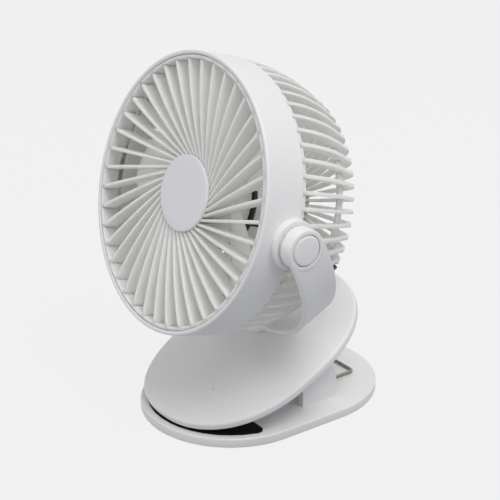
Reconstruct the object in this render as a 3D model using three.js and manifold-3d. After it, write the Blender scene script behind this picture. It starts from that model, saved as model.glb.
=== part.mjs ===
// Clip fan: a caged fan head in a swivelling yoke, carried by the upper jaw of a spring clamp.
// Millimetres, +Z up. The origin is the centre of the lower jaw's underside, and the fan faces -Y.
import * as THREE from 'three';
import { mergeVertices } from 'three/addons/utils/BufferGeometryUtils.js';
import Module from 'manifold-3d';

const wasm = await Module();
wasm.setup();

// Fits.
const gap = 0.3; // between pieces that touch
const runningGap = 0.6; // between pieces that turn or slide past each other
const past = 1; // how far a cut runs beyond the face that it opens

// Lower jaw: a flat shoe with two hinge cheeks.
const shoeHalfWidth = 51.8;
const shoeHalfLength = 72;
const shoeThickness = 5.6;
const shoeEdge = 0.8;
const gripMargin = 3.9; // grip sheet to the shoe's edge
const gripThickness = 0.9;
const gripBackEdge = -30; // where the grip sheet ends, along Y
const gripCorner = 4;
const hingeBack = 14; // hinge pin behind the shoe's middle
const hingeHeight = 13.9; // hinge pin above the shoe
const hingePinRadius = 2.5;
const cheekOuter = 37.3;
const cheekWall = 3.6;
const cheekRadius = 11.4;
const cheekFlare = 1; // how much the cheek's rear edge leans out
const pinSeatWall = 1; // material left outside the pin's blind seat

// Upper jaw: an arched cover over a tray.
const noseInset = 4.7; // nose behind the front end of the shoe, with the jaws closed
const hingeAlongJaw = 15.55; // hinge pin behind the upper jaw's widest line
const hingeBelowJaw = 23.4; // hinge pin under the upper jaw's lower rim plane
const jawHalfWidth = 53.3;
const jawRearLength = 67;
const jawFrontPower = 2.24; // roundness of the nose, 2 is an ellipse
const jawRearPower = 2.6;
const jawArchRadius = 223; // the jaw is arched across its width
const rimHeight = 4.2;
const rimRound = 1.5;
const crownHeight = 1.3;
const coverWall = 2;
const trayWall = 1.6;
const trayHalfWidth = 22;
const trayRearMargin = 7; // tray's well to the jaw's rear end
const wellClear = 1.5; // cell and board to the swivel's retainer
const trayDepth = 5.6; // below the rim plane
const earWall = 4.9;
const earRadius = 12;
const earRootHalfWidth = 12;
const cellHalfWidth = 17;
const cellLength = 37;
const cellThickness = 5;
const boardHalfWidth = 19;
const boardThickness = 1.2;
const portWidth = 8.9;
const portHeight = 3.2;
const portLength = 7;
const portOffset = -8; // port's middle, along X
const portShell = 0.5;
const tongueWidth = 6.2;
const tongueThickness = 0.6;
const tongueShort = 1.2; // tongue behind the port's mouth
const switchWidth = 5;
const switchDepth = 3;
const buttonRadius = 1.6;
const buttonProud = 0.9;
const buttonTravel = 0.6;
const buttonOffset = 8;
const ledAcross = 16.1;
const ledAlong = -35.4;
const ledRadius = 0.9;

// Clamp spring: two coils on the hinge pin, joined by a bridge that lies on the shoe.
const wireRadius = 0.9;
const coilRadius = 5.5; // to the middle of the wire
const coilTurns = 4.32;
const coilPitch = 2.43;
const bridgeHalfWidth = 21; // to the middle of the side legs
const bridgeBack = 53; // bridge behind the shoe's middle
const legBend = 36; // where the side legs come down onto the shoe
const bridgeBend = 2.6;
const freeLegReach = 44; // where the free legs bear under the tray, along the jaw
const curlSteps = 8;
const wireSides = 5;

// Yoke.
const swivelAlongJaw = 16; // swivel axis, behind the upper jaw's widest line
const neckHeight = 6.6; // the cover's crown to the yoke's underside
const yokeClear = 4.54; // the head's lower rear shoulder to the yoke, as the head tilts
const yokeWall = 3;
const armRadius = 10.8;
const yokeFootFront = 8.9;
const yokeFootRear = 14.2;
const armBossLength = 7.7;
const neckRadius = 9;
const spigotRadius = 6;
const retainerRadius = 9.5;
const retainerThickness = 1.4;
const swivelScrewReach = 3; // above the cover's crown
const pivotCapRadius = 8;
const pivotCapThickness = 2.6;
const pivotCapProud = 0.4;
const pivotPinRadius = 4;
const pivotHeadRadius = 6.5;
const pivotHeadThickness = 2.4;
const washerThickness = 1;

// Fan head, depths are measured back from the front rim.
const headPitch = 16.4; // nose up, degrees
const pivotDepth = 20.1;
const pivotBelowAxis = 3.1;
const headRadius = 75;
const bandWall = 2.25;
const bandDepth = 23;
const bandEdge = 0.9;
const lugRadius = 12.8;
const lugProud = 3.2;
const grilleRingWall = 2;
const grilleRingDepth = 9.5;
const grilleRingEdge = 0.6;
const grilleSetback = 0.3;
const vaneCount = 40;
const vaneStart = 4.6; // angle of the first vane at the rim, degrees
const vaneOffset = 14.2; // how far a vane's line passes the fan's axis
const vaneSetbackInner = 5.8;
const vaneSetbackOuter = 0.7;
const vaneRise = 1.5;
const vaneDepth = 8.4;
const vaneWallInner = 1.3;
const vaneWallOuter = 1.9;
const discRadius = 20.4;
const discSetback = 4.4;
const discThickness = 1.9;
const discEdge = 0.8;
const grilleHubDepth = 9;
const grilleHubWall = 3;
const cageRibs = 57;
const cageRibWidth = 1.9;
const cageRibHeight = 5; // depth of a rib, which is a fin that narrows inwards
const cageTaper = 11.5; // loss of radius from the band to the shoulder
const cageShoulderDepth = 66;
const cageCorner = 6;
const cageRingWall = 1.8;
const cageRingFront = 13;
const cageRingRear = 26;
const hoopDepth = 60;
const hoopWidth = 3;
const hoopWall = 2.4;
const hoopSunk = 0.6; // the hoop is let into the ribs
const cageHubRadius = 24;
const cageHubThickness = 3;
const motorRadius = 20;
const motorCupWall = 2.5; // of the cage's cup round the motor's rear
const motorFlangeRadius = 28.5;
const motorFlangeDepth = 30;
const motorFlangeThickness = 2.4;
const motorFront = 21;
const shaftRadius = 1.5;
const shaftShort = 1.5; // shaft's end behind the nut's front
const shaftReach = 20; // into the motor
const impellerHubRadius = 27;
const impellerHubFront = 17;
const impellerHubWall = 2.5;
const impellerHubRound = 4;
const tipClear = 6.65; // blade tips to the cage's ring
const bladeCount = 5;
const bladeStart = -19; // angle of the first blade's root, degrees
const bladeWall = 1.6;
const bladeRootPitch = 26; // degrees from the fan's plane
const bladeTipPitch = 16;
const bladeChordRoot = 30;
const bladeChordTip = 48;
const bladeLean = 27; // degrees that the tip lags behind the root
const bladeCamber = 0.05; // rise of the blade's middle, in chords
const bladeRootSunk = 1.5; // into the hub
const nutRadius = 4.2;
const nutLength = 3.6;
const nutEdge = 1;
const leadRadius = 1.1;
const leadBulge = 3.4; // how far the lead lies off the hoop
const leadSlot = 17; // the gap between ribs that it shows in, counted down from the top
const screwRadius = 1.3;
const screwHeadRadius = 2.5;
const screwHeadThickness = 1.2;
const screwReach = 6; // into the motor
const motorScrewCount = 3;
const motorScrewCircle = 13;

// Worked out from the sizes above.
const shoeTop = shoeThickness;
const hingeZ = shoeTop + hingeHeight;
const cheekInner = cheekOuter - cheekWall;
const earOuter = cheekInner - gap;
const earInner = earOuter - earWall;
const noseAhead = hingeBack + shoeHalfLength - noseInset;
const noseBelow = hingeHeight - gripThickness - gap;
const noseReach = Math.sqrt(noseAhead ** 2 + noseBelow ** 2 - hingeBelowJaw ** 2);
const jawFrontLength = noseReach - hingeAlongJaw;
const jawTilt = Math.atan2(noseBelow, noseAhead) + Math.atan2(hingeBelowJaw, noseReach);
const lugFace = headRadius + lugProud;
const armInner = lugFace + washerThickness + 2 * gap;
const armOuter = armInner + armBossLength;
const bandInner = headRadius - bandWall;
const lugRoot = Math.sqrt(bandInner ** 2 - (lugRadius + pivotBelowAxis) ** 2) - past;
const ringOuter = bandInner - gap; // of the cage and of the grille, inside the band
const cageRingInner = ringOuter - cageRingWall;
const impellerTipRadius = cageRingInner - tipClear;
const shoulderRadius = headRadius - cageTaper;
const shoulderReach = Math.hypot(cageShoulderDepth - pivotDepth, shoulderRadius - pivotBelowAxis);
const yokeDrop = shoulderReach + yokeClear + yokeWall; // pivot to the yoke's lowest outer surface
const coverCrown = rimHeight + crownHeight;
const pivotHeight = coverCrown + neckHeight + yokeDrop; // above the rim plane
const trayRear = jawRearLength - trayRearMargin;
const cellRear = swivelAlongJaw - retainerRadius - wellClear;
const trayFront = cellRear - cellLength - gap - trayWall;
const boardFront = swivelAlongJaw + retainerRadius + wellClear;
const trayFloor = -trayDepth + trayWall;
const buttonFlangeRadius = buttonRadius + runningGap;
const buttonHeight = trayFloor + gap + buttonFlangeRadius;
const buttonFlangeBack = trayRear - 2 * trayWall - buttonTravel;
const cageRear = cageShoulderDepth + cageCorner;
const cagePlateRear = cageRear + gap;
const cagePlateFront = cagePlateRear - cageHubThickness;
const screwSeat = cagePlateRear - screwHeadThickness - gap;
const motorRear = cagePlateFront - gap;
const flangeRear = motorFlangeDepth + motorFlangeThickness;
const ribFront = bandDepth + gap;
const hoopShare = (hoopDepth - ribFront) / (cageShoulderDepth - ribFront);
const hoopOuter = headRadius - cageTaper * hoopShare ** 2 - cageRibHeight + hoopSunk;
const midCorner = 1 - Math.SQRT1_2; // how far a round corner's middle lies in from its faces

const ringSegments = 64;
const hubSegments = vaneCount;
const motorSegments = 24;
const barrelSegments = 18;
const smallSegments = 12;
const holeSegments = 12;
const jawSegments = 32;

// Looks.
const plastic = (colour, roughness) => ({ color: colour, roughness, metalness: 0 });
const metal = (colour, roughness) => ({ color: colour, roughness, metalness: 1 });
const looks = {
  whiteShell: plastic(0xe6e7e9, 0.38),
  whiteGrille: plastic(0xebeae7, 0.4),
  whiteInside: plastic(0xdcdad5, 0.5),
  palePlastic: plastic(0xe2e3e5, 0.35),
  blackRubber: plastic(0x141414, 0.8),
  blackPlastic: plastic(0x1b1b1c, 0.55),
  greenBoard: plastic(0x1f5136, 0.6),
  cellWrap: plastic(0x9fb2bd, 0.4),
  lens: plastic(0x8d9094, 0.25),
  springSteel: metal(0x8a857f, 0.35),
  brightSteel: metal(0xb9bcc0, 0.3),
  nylon: plastic(0xcfcfca, 0.5),
};

// Solids.
const radians = THREE.MathUtils.degToRad;

function signedVolume(positions, index) {
  const a = new THREE.Vector3();
  const b = new THREE.Vector3();
  const c = new THREE.Vector3();
  let volume = 0;
  for (let i = 0; i < index.length; i += 3) {
    a.fromArray(positions, index[i] * 3);
    b.fromArray(positions, index[i + 1] * 3);
    c.fromArray(positions, index[i + 2] * 3);
    volume += a.dot(b.cross(c)) / 6;
  }
  return volume;
}

// A closed geometry becomes a solid: seams merged, slivers on an axis dropped, faces turned out.
function solid(geometry) {
  const bare = geometry.index ? geometry.clone() : mergeVertices(geometry);
  bare.deleteAttribute('normal');
  bare.deleteAttribute('uv');
  const merged = mergeVertices(bare, 1e-4);
  const positions = merged.attributes.position.array;
  const faces = [];
  const source = merged.index.array;
  for (let i = 0; i < source.length; i += 3) {
    const [a, b, c] = [source[i], source[i + 1], source[i + 2]];
    if (a !== b && b !== c && c !== a) faces.push(a, b, c);
  }
  if (signedVolume(positions, faces) < 0) {
    for (let i = 0; i < faces.length; i += 3) [faces[i], faces[i + 1]] = [faces[i + 1], faces[i]];
  }
  const mesh = new wasm.Mesh({
    numProp: 3,
    vertProperties: new Float32Array(positions),
    triVerts: new Uint32Array(faces),
    tolerance: 0.001,
  });
  return new wasm.Manifold(mesh);
}

function geometryOf(body) {
  const mesh = body.getMesh();
  const geometry = new THREE.BufferGeometry();
  geometry.setAttribute('position', new THREE.BufferAttribute(new Float32Array(mesh.vertProperties), 3));
  geometry.setIndex(new THREE.BufferAttribute(new Uint32Array(mesh.triVerts), 1));
  geometry.computeVertexNormals();
  return geometry;
}

function joined(bodies) {
  let list = bodies;
  while (list.length > 1) {
    const next = [];
    for (let i = 0; i < list.length; i += 2) {
      next.push(i + 1 < list.length ? list[i].add(list[i + 1]) : list[i]);
    }
    list = next;
  }
  return list[0];
}

// A turned piece round the Y axis, from a closed outline of [radius, place along Y].
function turned(outline, segments) {
  const points = outline.map(([radius, along]) => new THREE.Vector2(radius, along));
  const first = points[0];
  const last = points[points.length - 1];
  if (first.distanceTo(last) > 1e-6 && (first.x > 1e-6 || last.x > 1e-6)) points.push(first.clone());
  return new THREE.LatheGeometry(points, segments);
}

// A rod between two places on the Y axis.
function rodY(radius, from, to, segments = smallSegments) {
  const rod = new THREE.CylinderGeometry(radius, radius, to - from, segments);
  return rod.translate(0, (from + to) / 2, 0);
}

function rodX(radius, from, to, segments = smallSegments) {
  const rod = rodY(radius, from, to, segments);
  return rod.rotateZ(-Math.PI / 2);
}

function rodZ(radius, from, to, segments = smallSegments) {
  const rod = rodY(radius, from, to, segments);
  return rod.rotateX(Math.PI / 2);
}

function block(x0, x1, y0, y1, z0, z1) {
  const box = new THREE.BoxGeometry(x1 - x0, y1 - y0, z1 - z0);
  return box.translate((x0 + x1) / 2, (y0 + y1) / 2, (z0 + z1) / 2);
}

// A plate of an outline drawn in Y and Z, between two places along X.
function plateAlongX(shape, from, to, curveSegments) {
  const plate = new THREE.ExtrudeGeometry(shape, { depth: to - from, bevelEnabled: false, curveSegments });
  const turn = new THREE.Matrix4().makeBasis(
    new THREE.Vector3(0, 1, 0),
    new THREE.Vector3(0, 0, 1),
    new THREE.Vector3(1, 0, 0),
  );
  return plate.applyMatrix4(turn).translate(from, 0, 0);
}

// A strip: each station is a ring of the same number of points, and both ends are closed.
function strip(stations) {
  const count = stations[0].length;
  const positions = stations.flat(2);
  const index = [];
  for (let i = 0; i + 1 < stations.length; i += 1) {
    for (let j = 0; j < count; j += 1) {
      const a = i * count + j;
      const b = i * count + ((j + 1) % count);
      index.push(a, b, a + count, b, b + count, a + count);
    }
  }
  const lastRow = (stations.length - 1) * count;
  for (let j = 1; j + 1 < count; j += 1) {
    index.push(0, j + 1, j);
    index.push(lastRow, lastRow + j, lastRow + j + 1);
  }
  const geometry = new THREE.BufferGeometry();
  geometry.setAttribute('position', new THREE.Float32BufferAttribute(positions, 3));
  geometry.setIndex(index);
  return geometry;
}

// Scene.
const clipFan = new THREE.Group();
const upperJaw = new THREE.Group();
const yokeFrame = new THREE.Group();
const head = new THREE.Group();

clipFan.add(upperJaw);
upperJaw.add(yokeFrame);
clipFan.add(head);

upperJaw.rotation.x = jawTilt;
upperJaw.position
  .set(0, -hingeAlongJaw, hingeBelowJaw)
  .applyEuler(upperJaw.rotation)
  .add(new THREE.Vector3(0, hingeBack, hingeZ));
yokeFrame.position.set(0, swivelAlongJaw, 0);

head.rotation.x = -radians(headPitch);
const pivotPlace = new THREE.Vector3(0, swivelAlongJaw, pivotHeight)
  .applyEuler(upperJaw.rotation)
  .add(upperJaw.position);
head.position
  .set(0, -pivotDepth, pivotBelowAxis)
  .applyEuler(head.rotation)
  .add(pivotPlace);

function addPiece(parent, name, geometry, look) {
  const mesh = new THREE.Mesh(geometry, new THREE.MeshStandardMaterial(look));
  mesh.name = name;
  parent.add(mesh);
}

// Lower jaw.
function shoeOutline(inset) {
  const halfWidth = shoeHalfWidth - inset;
  const straight = shoeHalfLength - shoeHalfWidth;
  const shape = new THREE.Shape();
  shape.absarc(0, straight, halfWidth, 0, Math.PI, false);
  shape.absarc(0, -straight, halfWidth, Math.PI, 2 * Math.PI, false);
  return shape;
}

function cheekOutline() {
  const shape = new THREE.Shape();
  const buried = shoeTop / 2;
  shape.moveTo(hingeBack + cheekRadius + cheekFlare, buried);
  shape.absarc(hingeBack, hingeZ, cheekRadius, 0, Math.PI, false);
  shape.lineTo(hingeBack - cheekRadius, buried);
  return shape;
}

function lowerJaw() {
  const shoe = new THREE.ExtrudeGeometry(shoeOutline(shoeEdge), {
    depth: shoeThickness - 2 * shoeEdge,
    bevelThickness: shoeEdge,
    bevelSize: shoeEdge,
    bevelSegments: 1,
    curveSegments: 14,
  });
  shoe.translate(0, 0, shoeEdge);
  const cheek = cheekOutline();
  const right = plateAlongX(cheek, cheekInner, cheekOuter, 14);
  const left = plateAlongX(cheek, -cheekOuter, -cheekInner, 14);
  const seatEnd = cheekOuter - pinSeatWall;
  const seat = rodX(hingePinRadius + gap, -seatEnd, seatEnd).translate(0, hingeBack, hingeZ);
  const body = joined([solid(shoe), solid(right), solid(left)]).subtract(solid(seat));
  return geometryOf(body);
}

function gripSheet() {
  const radius = shoeHalfWidth - gripMargin;
  const centre = -(shoeHalfLength - shoeHalfWidth);
  const drop = centre - gripBackEdge;
  const inner = radius - gripCorner;
  const across = Math.sqrt(inner * inner - (drop + gripCorner) ** 2);
  const angle = Math.atan2(drop + gripCorner, across);
  const shape = new THREE.Shape();
  shape.moveTo(0, gripBackEdge);
  shape.lineTo(-across, gripBackEdge);
  shape.absarc(-across, gripBackEdge - gripCorner, gripCorner, Math.PI / 2, Math.PI + angle, false);
  shape.absarc(0, centre, radius, Math.PI + angle, 2 * Math.PI - angle, false);
  shape.absarc(across, gripBackEdge - gripCorner, gripCorner, -angle, Math.PI / 2, false);
  const sheet = new THREE.ExtrudeGeometry(shape, {
    depth: gripThickness,
    bevelEnabled: false,
    curveSegments: 10,
  });
  return sheet.translate(0, 0, shoeTop);
}

function hingePin() {
  const end = cheekOuter - pinSeatWall - gap;
  return rodX(hingePinRadius, -end, end, barrelSegments).translate(0, hingeBack, hingeZ);
}

addPiece(clipFan, 'lower_jaw', lowerJaw(), looks.whiteShell);
addPiece(clipFan, 'jaw_grip_pad', gripSheet(), looks.blackRubber);
addPiece(clipFan, 'hinge_pin', hingePin(), looks.brightSteel);

// Clamp spring.
// Points of one side, from the free leg's end through the coil and the side leg to the bridge.
// The side is -1 on the left and 1 on the right.
function springPoints(side) {
  const onShoe = shoeTop + wireRadius + gap;
  const freeEnd = new THREE.Vector3(0, freeLegReach, -trayDepth - wireRadius - gap)
    .applyEuler(upperJaw.rotation)
    .add(upperJaw.position);
  const tangentAngle = (y, z) => {
    const away = Math.atan2(z - hingeZ, y - hingeBack);
    return [away, Math.acos(coilRadius / Math.hypot(z - hingeZ, y - hingeBack))];
  };
  const [toFree, freeTurn] = tangentAngle(freeEnd.y, freeEnd.z);
  const [toBend, bendTurn] = tangentAngle(legBend, onShoe);
  const start = toFree + freeTurn;
  const settled = toBend - bendTurn;
  const wholeTurns = Math.round(coilTurns - (settled - start) / (2 * Math.PI));
  const turns = (settled - start) / (2 * Math.PI) + wholeTurns;
  const steps = Math.round(turns * curlSteps);
  const coil = [];
  for (let i = 0; i <= steps; i += 1) {
    const angle = start + (2 * Math.PI * turns * i) / steps;
    coil.push(new THREE.Vector3(
      side * (bridgeHalfWidth - coilPitch * turns * (1 - i / steps)),
      hingeBack + coilRadius * Math.cos(angle),
      hingeZ + coilRadius * Math.sin(angle),
    ));
  }
  freeEnd.x = coil[0].x;
  const x = side * bridgeHalfWidth;
  return [
    freeEnd,
    ...coil,
    new THREE.Vector3(x, legBend - bridgeBend, onShoe + bridgeBend * midCorner),
    new THREE.Vector3(x, legBend, onShoe),
    new THREE.Vector3(x, bridgeBack - bridgeBend, onShoe),
    new THREE.Vector3(x - side * bridgeBend * midCorner, bridgeBack - bridgeBend * midCorner, onShoe),
    new THREE.Vector3(x - side * bridgeBend, bridgeBack, onShoe),
  ];
}

// The least distance between two stretches of a wire that aren't neighbours, less the wire.
function leastGap(points, radius) {
  const dense = [];
  for (let i = 0; i + 1 < points.length; i += 1) {
    const parts = Math.ceil(points[i].distanceTo(points[i + 1]) / radius);
    for (let j = 0; j < parts; j += 1) dense.push(points[i].clone().lerp(points[i + 1], j / parts));
  }
  const travelled = [0];
  for (let i = 1; i < dense.length; i += 1) {
    travelled.push(travelled[i - 1] + dense[i].distanceTo(dense[i - 1]));
  }
  let least = Infinity;
  for (let i = 0; i < dense.length; i += 1) {
    for (let j = i + 1; j < dense.length; j += 1) {
      const apart = travelled[j] - travelled[i] > 6 * radius;
      if (apart) least = Math.min(least, dense[i].distanceTo(dense[j]));
    }
  }
  return least - 2 * radius;
}

// A wire through points, its section carried along without twist.
function wire(points, radius, sides) {
  const stations = [];
  const ahead = new THREE.Vector3();
  const side = new THREE.Vector3(1, 0, 0);
  const up = new THREE.Vector3();
  points.forEach((point, i) => {
    const before = points[Math.max(i - 1, 0)];
    const after = points[Math.min(i + 1, points.length - 1)];
    ahead.subVectors(after, point).normalize();
    if (i > 0) ahead.add(up.subVectors(point, before).normalize()).normalize();
    if (i === points.length - 1) ahead.subVectors(point, before).normalize();
    side.addScaledVector(ahead, -side.dot(ahead)).normalize();
    up.crossVectors(ahead, side);
    const ring = [];
    for (let j = 0; j < sides; j += 1) {
      const turn = (2 * Math.PI * j) / sides;
      const spot = point.clone()
        .addScaledVector(side, radius * Math.cos(turn))
        .addScaledVector(up, radius * Math.sin(turn));
      ring.push(spot.toArray());
    }
    stations.push(ring);
  });
  return strip(stations);
}

function clampSpring() {
  const points = [...springPoints(-1), ...springPoints(1).reverse()];
  console.log('clamp spring: least gap to itself', leastGap(points, wireRadius).toFixed(2), 'mm');
  return wire(points, wireRadius, wireSides);
}

addPiece(clipFan, 'clamp_spring', geometryOf(solid(clampSpring())), looks.springSteel);

// Upper jaw.
function archDrop(across) {
  return (across * across) / (2 * jawArchRadius);
}

// The jaw's outline at an angle, drawn in by an inset and shrunk by a share.
function jawOutline(angle, inset, share) {
  const cosine = Math.cos(angle);
  const sine = Math.sin(angle);
  const power = 2 / (sine < 0 ? jawFrontPower : jawRearPower);
  const length = (sine < 0 ? jawFrontLength : jawRearLength) - inset;
  const x = Math.sign(cosine) * Math.abs(cosine) ** power * (jawHalfWidth - inset) * share;
  const y = Math.sign(sine) * Math.abs(sine) ** power * length * share;
  return [x, y];
}

// A solid of the jaw's outline from rows of [inset, share, height], closed on the jaw's middle.
function jawSolid(rows) {
  const positions = [0, 0, rows[0][2]];
  const inner = rows.slice(1, -1);
  for (const [inset, share, height] of inner) {
    for (let j = 0; j < jawSegments; j += 1) {
      const [x, y] = jawOutline((2 * Math.PI * j) / jawSegments, inset, share);
      positions.push(x, y, height - archDrop(x));
    }
  }
  positions.push(0, 0, rows[rows.length - 1][2]);
  const index = [];
  const vertex = (row, j) => 1 + row * jawSegments + (j % jawSegments);
  const top = 1 + inner.length * jawSegments;
  for (let j = 0; j < jawSegments; j += 1) {
    index.push(0, vertex(0, j + 1), vertex(0, j));
    for (let row = 0; row + 1 < inner.length; row += 1) {
      const [a, b] = [vertex(row, j), vertex(row, j + 1)];
      const [c, d] = [vertex(row + 1, j), vertex(row + 1, j + 1)];
      index.push(a, b, c, b, d, c);
    }
    index.push(vertex(inner.length - 1, j), vertex(inner.length - 1, j + 1), top);
  }
  const geometry = new THREE.BufferGeometry();
  geometry.setAttribute('position', new THREE.Float32BufferAttribute(positions, 3));
  geometry.setIndex(index);
  return solid(geometry);
}

function crownAt(share) {
  return crownHeight * (1 - share * share);
}

// The jaw's surfaces have rings of points between the rim and the middle, at these shares.
const innerShares = [0.66, 0.33];

function innerRows(inset, height, crowned) {
  return innerShares.map((share) => [inset, share, height + (crowned ? crownAt(share) : 0)]);
}

function upperJawCover() {
  const outside = jawSolid([
    [0, 0, 0],
    ...innerRows(0, 0, false).reverse(),
    [0, 1, 0],
    [0, 1, rimHeight - rimRound],
    [rimRound * midCorner, 1, rimHeight - rimRound * midCorner],
    [rimRound, 1, rimHeight],
    ...innerRows(rimRound, rimHeight, true),
    [0, 0, coverCrown],
  ]);
  const below = -2 * trayDepth;
  const inside = jawSolid([
    [0, 0, below],
    [coverWall, 1, below],
    [coverWall, 1, rimHeight - coverWall],
    ...innerRows(coverWall, rimHeight - coverWall, true),
    [0, 0, coverCrown - coverWall],
  ]);
  const swivelHole = rodZ(spigotRadius + gap, -past, coverCrown + past, barrelSegments);
  swivelHole.translate(0, swivelAlongJaw, 0);
  const ledHole = rodZ(ledRadius + gap, -past, coverCrown + past, holeSegments);
  ledHole.translate(ledAcross, ledAlong, 0);
  return geometryOf(outside.subtract(inside).subtract(solid(swivelHole)).subtract(solid(ledHole)));
}

function earOutline() {
  const root = gap + trayWall / 2 - archDrop(earOuter);
  const shape = new THREE.Shape();
  shape.moveTo(hingeAlongJaw - earRootHalfWidth, root);
  shape.lineTo(hingeAlongJaw - earRadius, -hingeBelowJaw);
  shape.absarc(hingeAlongJaw, -hingeBelowJaw, earRadius, Math.PI, 2 * Math.PI, false);
  shape.lineTo(hingeAlongJaw + earRootHalfWidth, root);
  return shape;
}

function upperJawTray() {
  const inset = coverWall + gap;
  const low = gap;
  const high = low + trayWall;
  const panel = jawSolid([
    [0, 0, low],
    ...innerRows(inset, low, false).reverse(),
    [inset, 1, low],
    [inset, 1, high],
    ...innerRows(inset, high, false),
    [0, 0, high],
  ]);
  const outer = block(-trayHalfWidth, trayHalfWidth, trayFront, trayRear, -trayDepth, 2 * gap);
  const hollow = block(
    -trayHalfWidth + trayWall,
    trayHalfWidth - trayWall,
    trayFront + trayWall,
    trayRear - trayWall,
    trayFloor,
    coverCrown,
  );
  const ear = earOutline();
  const rightEar = plateAlongX(ear, earInner, earOuter, 12);
  const leftEar = plateAlongX(ear, -earOuter, -earInner, 12);
  const pinHole = rodX(hingePinRadius + gap, -cheekOuter, cheekOuter)
    .translate(0, hingeAlongJaw, -hingeBelowJaw);
  const portHole = block(
    portOffset - portWidth / 2 - gap,
    portOffset + portWidth / 2 + gap,
    trayRear - 2 * trayWall,
    trayRear + past,
    trayFloor,
    trayFloor + portHeight + 2 * gap,
  );
  const buttonHole = rodY(buttonRadius + gap, trayRear - 2 * trayWall, trayRear + past)
    .translate(buttonOffset, 0, buttonHeight);
  const body = joined([panel, solid(outer), solid(rightEar), solid(leftEar)])
    .subtract(solid(hollow))
    .subtract(solid(pinHole))
    .subtract(solid(portHole))
    .subtract(solid(buttonHole));
  return geometryOf(body);
}

function batteryCell() {
  const low = trayFloor + gap;
  return block(-cellHalfWidth, cellHalfWidth, cellRear - cellLength, cellRear, low, low + cellThickness);
}

// The board carries the switch that the button pushes on.
function controlBoard() {
  const low = trayFloor + gap;
  const rear = trayRear - portLength - gap;
  const board = block(-boardHalfWidth, boardHalfWidth, boardFront, rear, low, low + boardThickness);
  const switchBody = block(
    buttonOffset - switchWidth / 2,
    buttonOffset + switchWidth / 2,
    rear - switchDepth,
    buttonFlangeBack - buttonTravel - gap,
    low + boardThickness / 2,
    low + 2 * buttonRadius,
  );
  return geometryOf(solid(board).add(solid(switchBody)));
}

function usbPort() {
  const low = trayFloor + gap;
  const front = trayRear - portLength;
  const half = portWidth / 2;
  const shell = block(portOffset - half, portOffset + half, front, trayRear, low, low + portHeight);
  const mouth = block(
    portOffset - half + portShell,
    portOffset + half - portShell,
    front + 2 * portShell,
    trayRear + past,
    low + portShell,
    low + portHeight - portShell,
  );
  const tongue = block(
    portOffset - tongueWidth / 2,
    portOffset + tongueWidth / 2,
    front + portShell,
    trayRear - tongueShort,
    low + (portHeight - tongueThickness) / 2,
    low + (portHeight + tongueThickness) / 2,
  );
  return geometryOf(solid(shell).subtract(solid(mouth)).add(solid(tongue)));
}

function powerButton() {
  const flange = rodY(buttonFlangeRadius, buttonFlangeBack, trayRear - trayWall - gap);
  const stem = rodY(buttonRadius, buttonFlangeBack, trayRear + buttonProud);
  const body = solid(flange).add(solid(stem));
  return geometryOf(body).translate(buttonOffset, 0, buttonHeight);
}

function ledLens() {
  const share = Math.hypot(ledAcross / jawHalfWidth, ledAlong / jawFrontLength);
  const top = rimHeight + crownAt(share) - archDrop(ledAcross);
  const bottom = 2 * gap + trayWall - archDrop(ledAcross);
  return rodZ(ledRadius, bottom, top, holeSegments).translate(ledAcross, ledAlong, 0);
}

const retainerEdge = (swivelAlongJaw + retainerRadius) / jawRearLength;
const coverUnderside = rimHeight + crownAt(retainerEdge) - archDrop(retainerRadius) - coverWall;
const retainerTop = coverUnderside - runningGap;
const spigotEnd = retainerTop + gap;

function swivelRetainer() {
  const disc = rodZ(retainerRadius, retainerTop - retainerThickness, retainerTop, barrelSegments);
  const hole = rodZ(screwRadius + gap, -coverCrown, coverCrown, holeSegments);
  return geometryOf(solid(disc).subtract(solid(hole)));
}

function swivelScrew() {
  const seat = retainerTop - retainerThickness - gap;
  const headPart = rodZ(screwHeadRadius, seat - screwHeadThickness, seat);
  const end = coverCrown + swivelScrewReach;
  const shank = rodZ(screwRadius, seat - screwHeadThickness / 2, end, holeSegments);
  return geometryOf(solid(headPart).add(solid(shank)));
}

addPiece(upperJaw, 'upper_jaw_cover', upperJawCover(), looks.whiteShell);
addPiece(upperJaw, 'upper_jaw_tray', upperJawTray(), looks.whiteShell);
addPiece(upperJaw, 'battery_cell', batteryCell(), looks.cellWrap);
addPiece(upperJaw, 'control_board', controlBoard(), looks.greenBoard);
addPiece(upperJaw, 'usb_port', usbPort(), looks.brightSteel);
addPiece(upperJaw, 'power_button', powerButton(), looks.palePlastic);
addPiece(upperJaw, 'led_lens', ledLens(), looks.lens);
addPiece(yokeFrame, 'swivel_retainer', swivelRetainer(), looks.nylon);
addPiece(yokeFrame, 'swivel_screw', swivelScrew(), looks.brightSteel);

// Yoke: an arched strap, in the frame of the swivel axis.
function yokeStation(angle) {
  const drop = Math.sin(angle);
  const across = Math.cos(angle);
  const front = -(armRadius + (yokeFootFront - armRadius) * drop);
  const rear = armRadius + (yokeFootRear - armRadius) * drop;
  const outer = [armOuter * across, pivotHeight - yokeDrop * drop];
  const inner = [(armOuter - yokeWall) * across, pivotHeight - (yokeDrop - yokeWall) * drop];
  return [
    [outer[0], front, outer[1]],
    [outer[0], rear, outer[1]],
    [inner[0], rear, inner[1]],
    [inner[0], front, inner[1]],
  ];
}

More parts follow.
